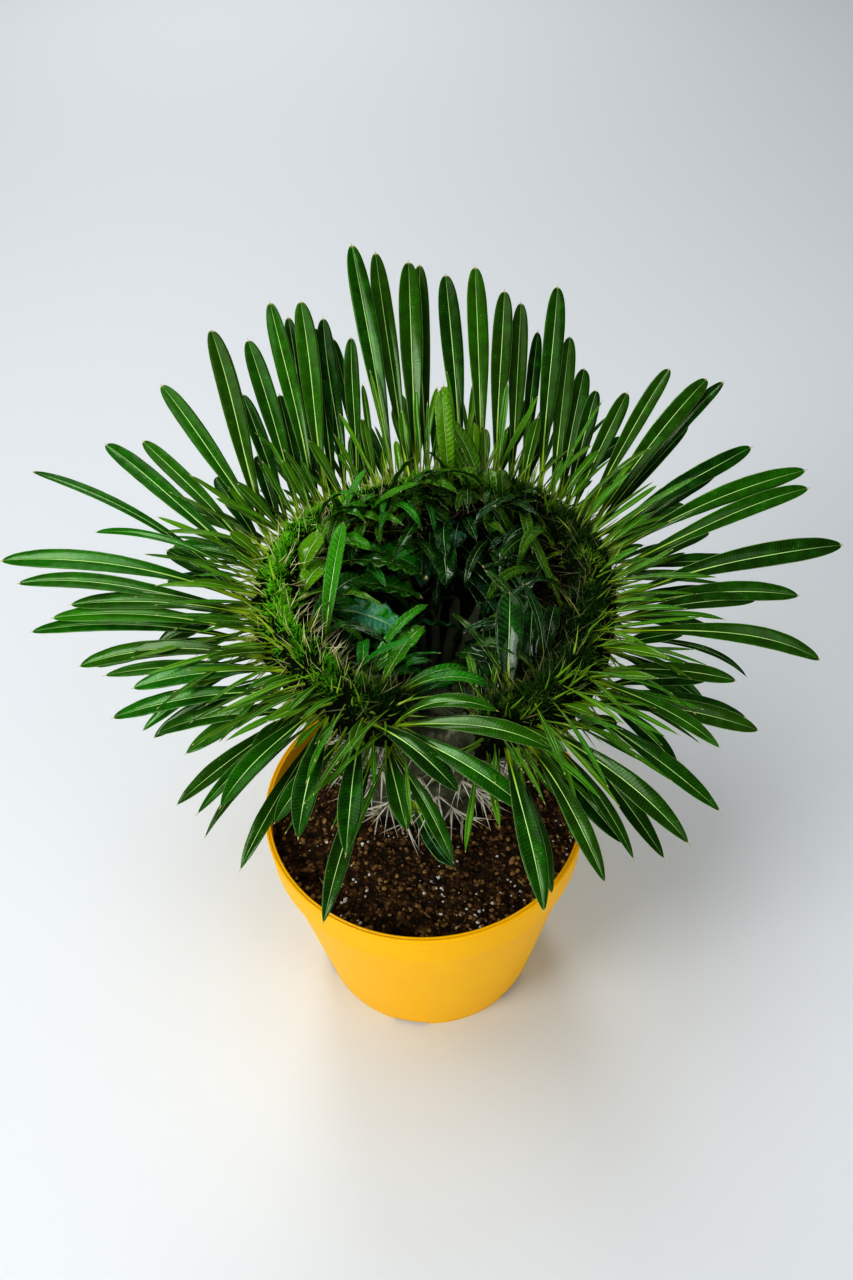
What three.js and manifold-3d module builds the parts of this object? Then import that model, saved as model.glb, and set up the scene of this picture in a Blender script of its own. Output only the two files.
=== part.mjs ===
// Crested Madagascar palm (Pachypodium lamerei, cristate form) in a tapered plastic pot.
// Units are millimetres and +Z is up. The origin is the centre of the pot's base, on the surface
// that it stands on. +Y is the back of the plant, and the fan-shaped crest opens towards -Y.
import * as THREE from "three";
import { mergeVertices } from "three/addons/utils/BufferGeometryUtils.js";
import Module from "manifold-3d";

const wasm = await Module();
wasm.setup();

// ---------------------------------------------------------------- driving dimensions
const GAP = 0.3; // clearance between pieces that touch

// pot: a 20 cm nursery pot
const POT_HEIGHT = 150;
const RIM_RADIUS = 100;
const BASE_RADIUS = 74;
const POT_WALL = 2.2;
const LIP_WIDTH = 3.6;
const COLLAR_HEIGHT = 25;
const COLLAR_STEP = 2.6;
const COLLAR_TAPER = 1.2;
const FOOT_HEIGHT = 3;
const FOOT_WIDTH = 5;
const FLOOR_THICKNESS = 2.4;
const NOTCH_COUNT = 6;
const NOTCH_SPAN_DEG = 18;
const NOTCH_FIRST_DEG = -101;
const DRAIN_COUNT = 6;
const DRAIN_RADIUS = 4;
const DRAIN_CIRCLE = 48;
const POT_SIDES = 44;

// soil
const SOIL_TOP = 137;
const SOIL_RELIEF = 1.3;
const SOIL_SIDES = 40;

// stem: a short foot that widens into a crest, curled round to a horseshoe
const FOOT_CENTRE = [1, 26];
const FOOT_HALF = [42, 36];
const STUB_DEPTH = 38; // how far the stem reaches below the soil
const STUB_TAPER = 0.55;
const CREST_CENTRE = [8, 57];
const CREST_RADIUS = 92;
const CREST_TOP = 276;
const CREST_LEAN = 11; // the back of the crest stands this much higher than its middle
const MOUTH_DEG = 270; // the crest is open here
const MOUTH_DROP = 38;
const FUNNEL_CENTRE = [6, 46];
const FUNNEL_FLOOR = 188;
const STATIONS = 40; // columns round the crest
const CREST_FROM_DEG = -76.5; // the leafy part of the crest runs between these columns
const CREST_TO_DEG = 256.5;

// foliage
const BAND = 3; // thickness of the layer of leaf bases
const EDGE_BAND = 1.6; // thickness of the growing edge under its needles
const ROOT_SUNK = 1.6; // how far a leaf's root is sunk in that layer
const BLADE = 1.5; // leaf thickness along the midrib
const SAG_POWER = 1.4;

// ---------------------------------------------------------------- small helpers
const rad = THREE.MathUtils.degToRad;
const sin = (degrees) => Math.sin(rad(degrees));
const cos = (degrees) => Math.cos(rad(degrees));
const mix = (a, b, share) => a + (b - a) * share;

// a bump of height 1 round the angle `at`, `wide` degrees to each side
function bump(degrees, at, wide) {
  const off = ((degrees - at + 540) % 360) - 180;
  return Math.exp(-((off / wide) ** 2));
}

// repeatable random numbers from 0 to 1
function makeDraw(seed) {
  let state = seed;
  return () => {
    state = (state * 1664525 + 1013904223) % 4294967296;
    return state / 4294967296;
  };
}

function toSolid(geometry) {
  const bare = geometry.clone();
  bare.deleteAttribute("normal");
  bare.deleteAttribute("uv");
  const merged = mergeVertices(bare, 1e-4);
  const mesh = new wasm.Mesh({
    numProp: 3,
    vertProperties: new Float32Array(merged.attributes.position.array),
    triVerts: new Uint32Array(merged.index.array),
  });
  return new wasm.Manifold(mesh);
}

// a closed solid through rings of points, each ring anticlockwise seen from the far end;
// a last ring of one point makes a tip
function loft(rings) {
  const points = rings.flat();
  const faces = [];
  const starts = [];
  let count = 0;
  for (const ring of rings) {
    starts.push(count);
    count += ring.length;
  }
  for (let k = 0; k + 1 < rings.length; k += 1) {
    const n = rings[k].length;
    const low = starts[k];
    const high = starts[k + 1];
    for (let i = 0; i < n; i += 1) {
      const j = (i + 1) % n;
      if (rings[k + 1].length === 1) {
        faces.push(low + i, low + j, high);
      } else {
        faces.push(low + i, low + j, high + j);
        faces.push(low + i, high + j, high + i);
      }
    }
  }
  // an end is closed in strips between its two halves, so a bent section stays closed as well
  const cap = (start, n, turned) => {
    const add = (a, b, c) => {
      if (turned) faces.push(start + a, start + c, start + b);
      else faces.push(start + a, start + b, start + c);
    };
    for (let i = 0, j = n - 1; i + 1 < j; i += 1, j -= 1) {
      add(i, i + 1, j);
      if (i + 1 < j - 1) add(i + 1, j - 1, j);
    }
  };
  cap(starts[0], rings[0].length, true);
  const last = rings.length - 1;
  if (rings[last].length > 2) cap(starts[last], rings[last].length, false);
  const mesh = new wasm.Mesh({
    numProp: 3,
    vertProperties: new Float32Array(points.flatMap((p) => [p.x, p.y, p.z])),
    triVerts: new Uint32Array(faces),
  });
  return new wasm.Manifold(mesh);
}

// ---------------------------------------------------------------- pot
// outer radius of the tapered wall at height z
function wallRadius(z) {
  const collarFoot = POT_HEIGHT - COLLAR_HEIGHT;
  const top = RIM_RADIUS - COLLAR_STEP - COLLAR_TAPER;
  return mix(BASE_RADIUS, top, z / collarFoot);
}

function makePot() {
  const collarFoot = POT_HEIGHT - COLLAR_HEIGHT;
  const floorTop = FOOT_HEIGHT + FLOOR_THICKNESS;
  const profile = [
    [0, FOOT_HEIGHT],
    [BASE_RADIUS - FOOT_WIDTH, FOOT_HEIGHT],
    [BASE_RADIUS - FOOT_WIDTH + 0.6, 0],
    [BASE_RADIUS - 0.8, 0],
    [wallRadius(1), 1],
    [wallRadius(collarFoot - 1), collarFoot - 1],
    [wallRadius(collarFoot) + COLLAR_STEP, collarFoot + 0.6],
    [RIM_RADIUS - 0.6, POT_HEIGHT - 4],
    [RIM_RADIUS, POT_HEIGHT - 3.4],
    [RIM_RADIUS, POT_HEIGHT],
    [RIM_RADIUS - LIP_WIDTH, POT_HEIGHT],
    [wallRadius(collarFoot) + COLLAR_STEP - POT_WALL, collarFoot],
    [wallRadius(collarFoot - 4) - POT_WALL, collarFoot - 4],
    [wallRadius(floorTop) - POT_WALL, floorTop],
    [0, floorTop],
  ].map(([r, z]) => new THREE.Vector2(r, z));
  const lathe = new THREE.LatheGeometry(profile, POT_SIDES);
  lathe.rotateX(Math.PI / 2);
  let pot = toSolid(lathe);
  // notches in the foot ring let water out
  const notchWidth = 2 * BASE_RADIUS * sin(NOTCH_SPAN_DEG / 2);
  for (let k = 0; k < NOTCH_COUNT; k += 1) {
    const at = NOTCH_FIRST_DEG + (k * 360) / NOTCH_COUNT;
    const notch = new THREE.BoxGeometry(FOOT_WIDTH * 4, notchWidth, 2 * FOOT_HEIGHT);
    notch.translate(BASE_RADIUS, 0, 0);
    notch.rotateZ(rad(at));
    pot = pot.subtract(toSolid(notch));
  }
  for (let k = 0; k < DRAIN_COUNT; k += 1) {
    const at = (k * 360) / DRAIN_COUNT;
    const drain = new THREE.CylinderGeometry(DRAIN_RADIUS, DRAIN_RADIUS, 12, 10);
    drain.rotateX(Math.PI / 2);
    drain.translate(DRAIN_CIRCLE * cos(at), DRAIN_CIRCLE * sin(at), FOOT_HEIGHT);
    pot = pot.subtract(toSolid(drain));
  }
  return pot;
}

// ---------------------------------------------------------------- stem surface
function footRadius(degrees, scale) {
  const across = cos(degrees) / (FOOT_HALF[0] * scale);
  const deep = sin(degrees) / (FOOT_HALF[1] * scale);
  return 1 / Math.hypot(across, deep);
}

// plan radius of the crest's ridge, about CREST_CENTRE
function crestRadius(degrees) {
  const lobes = 4.5 * cos(3 * (degrees - 45)) + 4 * cos(degrees);
  return CREST_RADIUS + lobes - 14 * bump(degrees, 264, 16);
}

// height of the crest before the mouth is cut into it, and how deep the mouth is there
function crestHeight(degrees) {
  return CREST_TOP + CREST_LEAN * sin(degrees) + 2 * sin(5 * degrees + 40);
}
const mouthDrop = (degrees) => MOUTH_DROP * bump(degrees, MOUTH_DEG, 8);

// rows of the stem from its buried tip, up the outside, over the ridge and down the funnel
const SOCKET_ROWS = [0, 0.5, 1]; // share of the buried stub, from its tip to the soil
const FLARE_ROWS = [0.3, 0.62]; // share of the height from the soil to the shoulder
const SHOULDER = { down: 45, out: -16, spread: 0.75 };
const OUTSIDE_ROWS = [
  { down: 32, out: 8, spread: 0.92 },
  { down: 20, out: 13, spread: 1 },
  { down: 11, out: 12.7, spread: 1 },
  { down: 4, out: 9, spread: 1 },
];
const RIDGE_ROW = { down: 0, out: 0, spread: 1 };
const FUNNEL_ROWS = [
  { share: 0, out: 0 },
  { share: 0.05, out: -9 },
  { share: 0.14, out: -13 },
  { share: 0.26, out: -17 },
  { share: 0.55, out: -38 },
  { share: 1, out: -72 },
];
const RIDGE = SOCKET_ROWS.length + FLARE_ROWS.length + 1 + OUTSIDE_ROWS.length;
const ROW_COUNT = RIDGE + FUNNEL_ROWS.length;
const FUNNEL_LEAST = 12;

// the entry of a profile at `value` of its `key`, between its two nearest rows
function profileAt(profile, key, value) {
  let k = 0;
  while (k + 2 < profile.length && profile[k + 1][key] < value) k += 1;
  const low = profile[k];
  const high = profile[k + 1];
  const share = Math.min(1, Math.max(0, (value - low[key]) / (high[key] - low[key])));
  const entries = Object.keys(low).map((name) => [name, mix(low[name], high[name], share)]);
  return Object.fromEntries(entries);
}
const OUTSIDE_DOWN = [RIDGE_ROW, ...[...OUTSIDE_ROWS].reverse(), SHOULDER];

function place(centre, radius, degrees, z) {
  const x = centre[0] + radius * cos(degrees);
  const y = centre[1] + radius * sin(degrees);
  return new THREE.Vector3(x, y, z);
}

function between(low, high, share) {
  return [mix(low[0], high[0], share), mix(low[1], high[1], share)];
}

// point of the stem in column angle `degrees` and row number `row`
function rowPoint(degrees, row) {
  const ridgeZ = crestHeight(degrees);
  const ridgeR = crestRadius(degrees);
  const foot = footRadius(degrees, 1);
  if (row < SOCKET_ROWS.length) {
    const share = SOCKET_ROWS[row];
    const scale = mix(STUB_TAPER, 1, share);
    return place(FOOT_CENTRE, foot * scale, degrees, SOIL_TOP - STUB_DEPTH * (1 - share));
  }
  const flare = row - SOCKET_ROWS.length;
  if (flare < FLARE_ROWS.length) {
    const share = FLARE_ROWS[flare];
    const spread = SHOULDER.spread * share ** 1.3;
    const radius = mix(foot, ridgeR + SHOULDER.out, spread);
    const z = mix(SOIL_TOP, ridgeZ - SHOULDER.down, share);
    return place(between(FOOT_CENTRE, CREST_CENTRE, spread), radius, degrees, z);
  }
  // above the shoulder both faces keep their shape where the mouth cuts the wall lower
  const drop = mouthDrop(degrees);
  const insideHeight = ridgeZ - FUNNEL_FLOOR;
  const outsideAt = (down) => {
    const { out, spread } = profileAt(OUTSIDE_DOWN, "down", down);
    const centre = between(FOOT_CENTRE, CREST_CENTRE, spread);
    return place(centre, mix(foot, ridgeR + out, spread), degrees, ridgeZ - down);
  };
  const insideAt = (share) => {
    const { out } = profileAt(FUNNEL_ROWS, "share", share);
    const centre = between(CREST_CENTRE, FUNNEL_CENTRE, share);
    return place(centre, Math.max(ridgeR + out, FUNNEL_LEAST), degrees, ridgeZ - share * insideHeight);
  };
  if (row < RIDGE) {
    const { down } = OUTSIDE_DOWN[RIDGE - row];
    return outsideAt(mix(drop, SHOULDER.down, down / SHOULDER.down));
  }
  if (row === RIDGE) return outsideAt(drop).lerp(insideAt(drop / insideHeight), 0.5);
  return insideAt(mix(drop / insideHeight, 1, FUNNEL_ROWS[row - RIDGE].share));
}

const STATION_STEP = 360 / STATIONS;
const stationAngles = Array.from({ length: STATIONS }, (_, i) => (i + 0.5) * STATION_STEP);

// point of the stem's faceted surface, between its columns and rows
function surface(degrees, row) {
  const low = Math.min(Math.floor(row), ROW_COUNT - 2);
  const column = degrees / STATION_STEP - 0.5;
  const left = Math.floor(column);
  const onColumn = (k) => {
    const angle = (k + 0.5) * STATION_STEP;
    return rowPoint(angle, low).lerp(rowPoint(angle, low + 1), row - low);
  };
  return onColumn(left).lerp(onColumn(left + 1), column - left);
}

// direction out of the stem there
function outward(degrees, row) {
  const reach = STATION_STEP / 2;
  const along = surface(degrees + reach, row).sub(surface(degrees - reach, row));
  const up = surface(degrees, Math.min(row + 0.35, ROW_COUNT - 1));
  up.sub(surface(degrees, row - 0.35));
  return along.cross(up).normalize();
}

function makeStemBody() {
  const rings = [];
  for (let row = 0; row < ROW_COUNT; row += 1) {
    rings.push(
      stationAngles.map((degrees, i) => {
        const point = rowPoint(degrees, row);
        const bare = row >= SOCKET_ROWS.length && row < SOCKET_ROWS.length + 2;
        const knob = bare && (i + row) % 2 === 0 ? 1.6 : 0; // tubercles under the leafy part
        return point.addScaledVector(outward(degrees, Math.max(row, 0.4)), knob);
      }),
    );
  }
  return loft(rings);
}

// ---------------------------------------------------------------- soil
function makeSoil() {
  const bottom = FOOT_HEIGHT + FLOOR_THICKNESS + GAP;
  const step = 360 / SOIL_SIDES;
  const angles = Array.from({ length: SOIL_SIDES }, (_, i) => i * step);
  const collarFoot = POT_HEIGHT - COLLAR_HEIGHT;
  const chord = cos(step / 2);
  const inside = (z) => (wallRadius(z) - POT_WALL) * chord - GAP;
  const relief = (x, y) =>
    SOIL_RELIEF * (Math.sin(x * 0.31 + 1) * Math.cos(y * 0.27) + 0.5 * Math.sin(x * 0.11 - y * 0.16));
  const ring = (radius, z) => angles.map((a) => place([0, 0], radius, a, z));
  // the soil fills the pot's collar too, where the wall steps outwards
  const outer = (RIM_RADIUS - LIP_WIDTH) * chord - GAP;
  const stepFoot = collarFoot - 4;
  const rings = [ring(inside(bottom), bottom), ring(inside(stepFoot), stepFoot), ring(outer, collarFoot + 2)];
  for (const share of [0, 0.3, 0.62, 1]) {
    rings.push(
      angles.map((a) => {
        const far = place([0, 0], outer, a, SOIL_TOP);
        const near = place(FOOT_CENTRE, footRadius(a, 1) + GAP * 2, a, SOIL_TOP);
        const point = far.lerp(near, share);
        const lift = share === 1 ? 0 : relief(point.x, point.y);
        return point.setZ(SOIL_TOP + lift);
      }),
    );
  }
  // the plain hole that the buried stub stands in
  for (let row = SOCKET_ROWS.length - 2; row >= 0; row -= 1) {
    const share = SOCKET_ROWS[row];
    const scale = mix(STUB_TAPER, 1, share);
    const z = SOIL_TOP - STUB_DEPTH * (1 - share) - (row === 0 ? GAP : 0);
    rings.push(angles.map((a) => place(FOOT_CENTRE, footRadius(a, scale) + GAP * 2, a, z)));
  }
  return loft(rings);
}

// ---------------------------------------------------------------- leaves
// width of a strap leaf along its length, as a share of its greatest width
function strapWidth(s) {
  const widest = 0.68;
  if (s > widest) return Math.sqrt(Math.max(0, 1 - ((s - widest) / (1 - widest)) ** 2.4));
  const t = s / widest;
  return mix(0.26, 1, t * t * (3 - 2 * t));
}

// centreline of a leaf: root point, then one point for each share in `shares`
function leafLine(root, heading, rise, length, sag, sweep, shares) {
  const steps = 24;
  const points = [root.clone()];
  const at = root.clone();
  const line = [{ s: 0, point: root.clone(), heading, pitch: rise }];
  for (let i = 0; i < steps; i += 1) {
    const s = (i + 0.5) / steps;
    const pitch = rise - sag * s ** SAG_POWER;
    const turn = heading + sweep * s;
    const ahead = new THREE.Vector3(cos(turn) * cos(pitch), sin(turn) * cos(pitch), sin(pitch));
    at.addScaledVector(ahead, length / steps);
    points.push(at.clone());
  }
  for (const s of shares) {
    const step = s * steps;
    const low = Math.min(Math.floor(step), steps - 1);
    const point = points[low].clone().lerp(points[low + 1], step - low);
    line.push({ s, point, heading: heading + sweep * s, pitch: rise - sag * s ** SAG_POWER });
  }
  return line;
}

const LONG_SHARES = [0.2, 0.45, 0.7, 0.93, 1];
const SHORT_SHARES = [0.3, 0.65, 0.92, 1];

function makeLeaf(leaf, shares) {
  const { root, heading, rise, length, width, sag, sweep = 0, roll = 0 } = leaf;
  const line = leafLine(root, heading, rise, length, sag, sweep, shares);
  const rings = line.map(({ s, point, heading: turn, pitch }) => {
    if (s === 1) return [point];
    const ahead = new THREE.Vector3(cos(turn) * cos(pitch), sin(turn) * cos(pitch), sin(pitch));
    const side = new THREE.Vector3(-sin(turn), cos(turn), 0).applyAxisAngle(ahead, rad(roll * s));
    const face = ahead.clone().cross(side);
    const half = (width * strapWidth(s)) / 2;
    const thick = BLADE * (1 - 0.35 * s);
    const offset = (across, lift) =>
      point.clone().addScaledVector(side, across).addScaledVector(face, lift);
    return [offset(half, thick / 2), offset(-half, thick / 2), offset(0, -thick / 2)];
  });
  return loft(rings);
}

// Tiers of leaf roots on the outside, as rows of the stem's surface
const TIER_ROWS = [RIDGE - 1.5, RIDGE - 2.2, RIDGE - 3];

// Outer leaves: station on the crest, tier, turn from straight out, rise, length, width, sag
const OUTER_LEAVES = [
  // back
  [103, 0, 2, 63, 149, 13.5, 12],
  [98, 0, 2, 58, 144, 12.5, 12],
  [94, 0, -3, 57, 136, 15, 10],
  [90, 1, 1, 55, 139, 12, 10],
  [130, 0, -32, 46, 137, 14, 12],
  [134, 1, -30, 48, 144, 12.5, 14],
  [132, 2, -31, 44, 143, 11, 12],
  [122, 1, -25, 48, 124, 12, 10],
  [126, 1, -29, 45, 122, 11, 10],
  [118, 0, -28, 48, 104, 10, 10],
  [112, 1, -7, 45, 110, 8, 14],
  [82, 0, 21, 80, 59, 8, 8],
  [74, 0, 10, 74, 34, 8, 40],
  [158, 0, -50, 41, 149, 14, 14],
  [142, 0, -34, 39, 128, 13, 12],
  [146, 1, -36, 33, 106, 10.5, 15],
  [138, 1, -34, 40, 88, 10, 10],
  [154, 1, -27, 30, 139, 12.5, 14],
  [150, 1, -43, 30, 66, 10, 20],
  [160, 1, -40, 24, 74, 10, 20],
  // left
  [166, 0, -34, 23, 123, 10.5, 15],
  [170, 0, -32, 22, 143, 12.5, 18],
  [174, 2, -20, 35, 163, 6.5, 35],
  [174, 0, -14, 32, 111, 5, 55],
  [178, 1, -8, 21, 158, 12.5, 35],
  [182, 1, -9, 18, 143, 10.5, 30],
  [186, 0, -13, 11, 113, 11, 25],
  [190, 1, -18, 11, 125, 11, 25],
  [190, 2, -16, 13, 139, 10.5, 30],
  [198, 2, -21, 14, 113, 11.5, 40],
  [202, 1, -30, 9, 92, 10, 30],
  [202, 2, -19, 12, 94, 8.5, 25],
  [214, 0, -33, 7, 89, 11, 30],
  [222, 1, -44, 3, 111, 11.5, 30],
  [228, 2, -56, 1, 100, 10.5, 40],
  [176, 2, -36, 14, 78, 10.5, 20],
  [180, 2, -6, 20, 52, 8, 15],
  [158, 2, -1, 24, 54, 7.5, 20],
  // back right
  [78, 0, 16, 52, 129, 14, 10],
  [71, 0, 19, 52, 135, 13.5, 10],
  [66, 0, 18, 51, 122, 13, 10],
  [61, 1, 22, 50, 122, 11.5, 10],
  [57, 1, 23, 47, 108, 9, 12],
  [50, 0, 31, 46, 139, 13.5, 12],
  [46, 1, 33, 44, 114, 11.5, 10],
  [43, 1, 32, 40, 100, 12.5, 15],
  [41, 1, 28, 40, 87, 10.5, 15],
  [38, 1, 21, 37, 94, 11, 15],
  [31, 0, 25, 31, 127, 11, 18],
  [29, 1, 17, 33, 133, 13.5, 20],
  [29, 2, 14, 33, 144, 10, 20],
  [29, 2, 14, 32, 106, 9.5, 20],
  [22, 1, 5, 26, 117, 12, 20],
  [21, 2, 9, 27, 94, 9.5, 20],
  [16, 1, 3, 22, 138, 13, 22],
  // right
  [6, 0, 16, 17, 140, 12, 22],
  [10, 2, 9, 23, 69, 9, 20],
  [-6, 0, 21, 13, 150, 15, 25],
  [-6, 1, 9, 14, 110, 12, 30],
  [-10, 1, 15, 15, 84, 10, 25],
  [-18, 0, 15, 9, 129, 12, 45],
  [-22, 1, 33, 17, 46, 9, 25],
  [-14, 2, 10, 7, 91, 4.5, 60],
  [-30, 1, 25, 7, 76, 10, 25],
  [-34, 2, 39, 11, 66, 10, 25],
  [-34, 2, 26, 3, 87, 8, 30],
  [-52, 0, 56, -3, 119, 12, 30],
  [-38, 0, 10, 3, 80, 8.5, 40],
  [-54, 2, 70, -3, 36, 9, 15],
  // front
  [234, 1, 27, 13, 78, 13.5, 45],
  [246, 1, 18, 13, 75, 12.5, 50],
  [230, 1, 1, 10, 77, 12, 40],
  [230, 2, -2, 8, 90, 5, 50],
  [226, 2, 2, 7, 84, 7, 30],
  [226, 2, -8, 3, 40, 11, 20],
  [246, 0, 74, 12, 67, 12.5, 50],
  [251, 0, 75, 12, 100, 12, 50],
  [253, 2, 29, 2, 52, 12, 35],
  [253, 2, 48, -3, 75, 9, 50],
  [254, 0, 86, 29, 93, 10.5, 50],
  [255, 0, 91, 60, 68, 8, 85],
  [-71, 1, -11, 8, 93, 12.5, 52],
  [-70, 2, -7, 4, 79, 10, 52],
  [-66, 1, 0, 8, 88, 10.5, 48],
  [-58, 2, -2, 6, 80, 7, 48],
  [-62, 0, 20, 6, 100, 12, 42],
];

// Inner leaves: station, row step down from the ridge, turn from straight in, rise, length,
// width, sag, sideways sweep
const INNER_LEAVES = [
  // back
  [80, 1.45, -155, 78, 71, 11.5, 10, 0],
  [65, 1.45, -122, 70, 61, 12, 60, 0],
  [68, 1.45, -116, 70, 49, 9.5, 50, 0],
  [69, 1.55, -104, 74, 37, 13, 60, 0],
  [71, 1.6, -131, 88, 26, 12, 30, 0],
  [62, 1.45, -136, 88, 25, 11, 30, 0],
  [57, 1.5, -128, 88, 28, 11.5, 30, 0],
  [53, 1.9, -99, 80, 25, 12, 60, 0],
  [96, 2.9, -172, 80, 38, 11, 20, 0],
  [110, 2.6, 88, 85, 24, 8.5, 120, 0],
  [80, 1.6, -90, 72, 30, 12, 80, 0],
  [76, 1.8, -70, 80, 20, 11, 120, 0],
  [75, 2.6, 6, 40, 36, 14.5, 80, 0],
  [65, 1.45, 49, 30, 43, 10, 110, 0],
  [64, 3.2, -70, 76, 20, 12, 60, 0],
  [78, 3.2, 41, 20, 57, 15.5, 60, 0],
  [76, 3.7, 53, 10, 47, 14.5, 60, 0],
  [87, 2.7, 9, 30, 58, 15.5, 100, 0],
  [94, 3.1, -5, 30, 43, 14, 110, 0],
  // left
  [136, 1.45, 99, 66, 44, 5.5, 50, 0],
  [166, 1.8, 54, 82, 32, 16, 60, 0],
  [174, 2.2, 54, 80, 30, 14, 110, 0],
  [143, 1.8, 72, 85, 23, 14, 100, 0],
  [150, 1.6, 76, 82, 26, 11, 110, 0],
  [203, 2.9, 51, 62, 78, 10, 30, 0],
  [152, 3.3, 51, 30, 64, 8.5, 50, 0],
  [150, 2.6, 6, 36, 72, 20.5, 62, 0],
  [160, 3.1, 5, 32, 67, 17, 60, 0],
  [170, 3.2, -14, 26, 58, 21.5, 55, 0],
  [172, 3.9, 18, 16, 75, 14.5, 45, 0],
  [206, 3.8, 16, 24, 52, 14.5, 40, 0],
  [140, 2.9, 25, 36, 57, 17, 90, 0],
  // mouth
  [252, 1.7, -55, 36, 46, 8, 70, 0],
  [254, 1.6, -80, 46, 57, 8, 90, 0],
  // right
  [-38, 4.2, -44, 66, 46, 9.5, 20, 0],
  [-49, 3.8, -49, 62, 67, 11.5, 30, 0],
  [-61, 2, -32, 60, 58, 15, 30, 0],
  [-47, 2.7, -48, 60, 50, 12, 30, 0],
  [-40, 2.2, -67, 55, 42, 9, 60, 0],
  [-27, 3.2, -106, 60, 29, 5.5, 10, 0],
  [-2, 3.4, -59, 45, 66, 9.5, 60, 0],
  [25, 3.5, -54, 20, 26, 11, 50, 0],
  [34, 3.5, -76, 66, 45, 8.5, 60, 0],
  [29, 2.4, 20, 20, 35, 12, 90, 0],
  [43, 1.8, 12, 20, 41, 12, 90, 0],
];

// steepness of ordinary leaves: upright at the back, level at the front
function usualRise(degrees) {
  const s = sin(degrees);
  return 14 + 36 * Math.max(s, 0) ** 1.2 - 8 * Math.max(-s, 0);
}

function rootOn(degrees, row) {
  const lift = GAP + BAND - ROOT_SUNK;
  return surface(degrees, row).addScaledVector(outward(degrees, row), lift);
}

function outerLeaves() {
  const leaves = OUTER_LEAVES.map(([station, tier, turn, rise, length, width, sag]) => ({
    root: rootOn(station, TIER_ROWS[tier]),
    heading: station + turn,
    rise,
    length,
    width,
    sag,
    shares: LONG_SHARES,
  }));
  // the lower tier, all round
  const draw = makeDraw(11);
  const lowerCount = 36;
  for (let i = 0; i < lowerCount; i += 1) {
    const station = mix(CREST_FROM_DEG + 2, CREST_TO_DEG - 2, (i + 0.5) / lowerCount);
    leaves.push({
      root: rootOn(station, TIER_ROWS[2] - 0.35 + 0.5 * draw()),
      heading: station + 24 * (draw() - 0.5),
      rise: usualRise(station) - 6 - 16 * draw(),
      length: 62 + 40 * draw(),
      width: 9 + 3 * draw(),
      sag: 18 + 16 * draw(),
      shares: SHORT_SHARES,
    });
  }
  // young leaves beside the growing edge
  const youngCount = 24;
  for (let i = 0; i < youngCount; i += 1) {
    const station = mix(CREST_FROM_DEG + 4, CREST_TO_DEG - 4, (i + 0.5) / youngCount);
    leaves.push({
      root: rootOn(station, TIER_ROWS[0] + 0.25),
      heading: station + 40 * (draw() - 0.5),
      rise: usualRise(station) + 14 + 10 * draw(),
      length: 24 + 22 * draw(),
      width: 6 + 2.5 * draw(),
      sag: 15,
      shares: SHORT_SHARES,
    });
  }
  return leaves;
}

function innerLeaves() {
  const leaves = INNER_LEAVES.map(([station, below, turn, rise, length, width, sag, sweep]) => ({
    root: rootOn(station, RIDGE + Math.max(below, 1.45)),
    heading: station + 180 + turn,
    rise,
    length,
    width,
    sag,
    sweep,
    shares: SHORT_SHARES,
  }));
  // short curled leaves all over the inside of the crest
  const draw = makeDraw(23);
  const curledCount = 26;
  for (let i = 0; i < curledCount; i += 1) {
    const station = mix(CREST_FROM_DEG + 6, CREST_TO_DEG - 6, (i + 0.5) / curledCount);
    leaves.push({
      root: rootOn(station, RIDGE + 1.5 + 2.6 * draw()),
      heading: station + 180 + 80 * (draw() - 0.5),
      rise: 30 + 30 * draw(),
      length: 28 + 22 * draw(),
      width: 9 + 4 * draw(),
      sag: 50 + 50 * draw(),
      shares: SHORT_SHARES,
    });
  }
  return leaves;
}

// a layer of leaf bases over the stem, from row to row between two stations
function makeBand(fromRow, toRow, thickness) {
  const rows = [fromRow];
  for (let row = Math.ceil(fromRow + 1e-6); row < toRow; row += 1) rows.push(row);
  rows.push(toRow);
  const angles = [];
  for (let a = CREST_FROM_DEG; a <= CREST_TO_DEG; a += STATION_STEP) angles.push(a);
  const rings = angles.map((degrees) => {
    const onStem = (row, lift) =>
      surface(degrees, row).addScaledVector(outward(degrees, row), lift);
    const under = rows.map((row) => onStem(row, GAP + 0.1));
    const over = rows.map((row) => onStem(row, GAP + thickness)).reverse();
    return [...under, ...over];
  });
  return loft(rings);
}

function joined(solids) {
  return wasm.Manifold.union(solids);
}

function makeOuterLeaves() {
  const band = makeBand(RIDGE - 4, RIDGE - 1.1, BAND);
  return joined([band, ...outerLeaves().map((leaf) => makeLeaf(leaf, leaf.shares))]);
}

function makeInnerLeaves() {
  const band = makeBand(RIDGE + 1.1, RIDGE + 4.5, BAND);
  return joined([band, ...innerLeaves().map((leaf) => makeLeaf(leaf, leaf.shares))]);
}

// ---------------------------------------------------------------- needles and spines
// a three-sided point
function makePoint(root, ahead, length, radius) {
  const helper = Math.abs(ahead.z) > 0.8 ? new THREE.Vector3(1, 0, 0) : new THREE.Vector3(0, 0, 1);
  const side = ahead.clone().cross(helper).normalize();
  const face = side.clone().cross(ahead).normalize();
  const ring = [0, 120, 240].map((a) =>
    root
      .clone()
      .addScaledVector(side, radius * cos(a))
      .addScaledVector(face, -radius * sin(a)),
  );
  return loft([ring, [root.clone().addScaledVector(ahead, length)]]);
}

// whether a solid crosses any of its neighbours
const crosses = (solid, neighbours) =>
  neighbours.some((other) => !other.intersect(solid).isEmpty());

const NEEDLE_COUNT = 156;
const NEEDLE_RADIUS = 0.95;
const NEEDLE_TRIES = 6;

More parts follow.
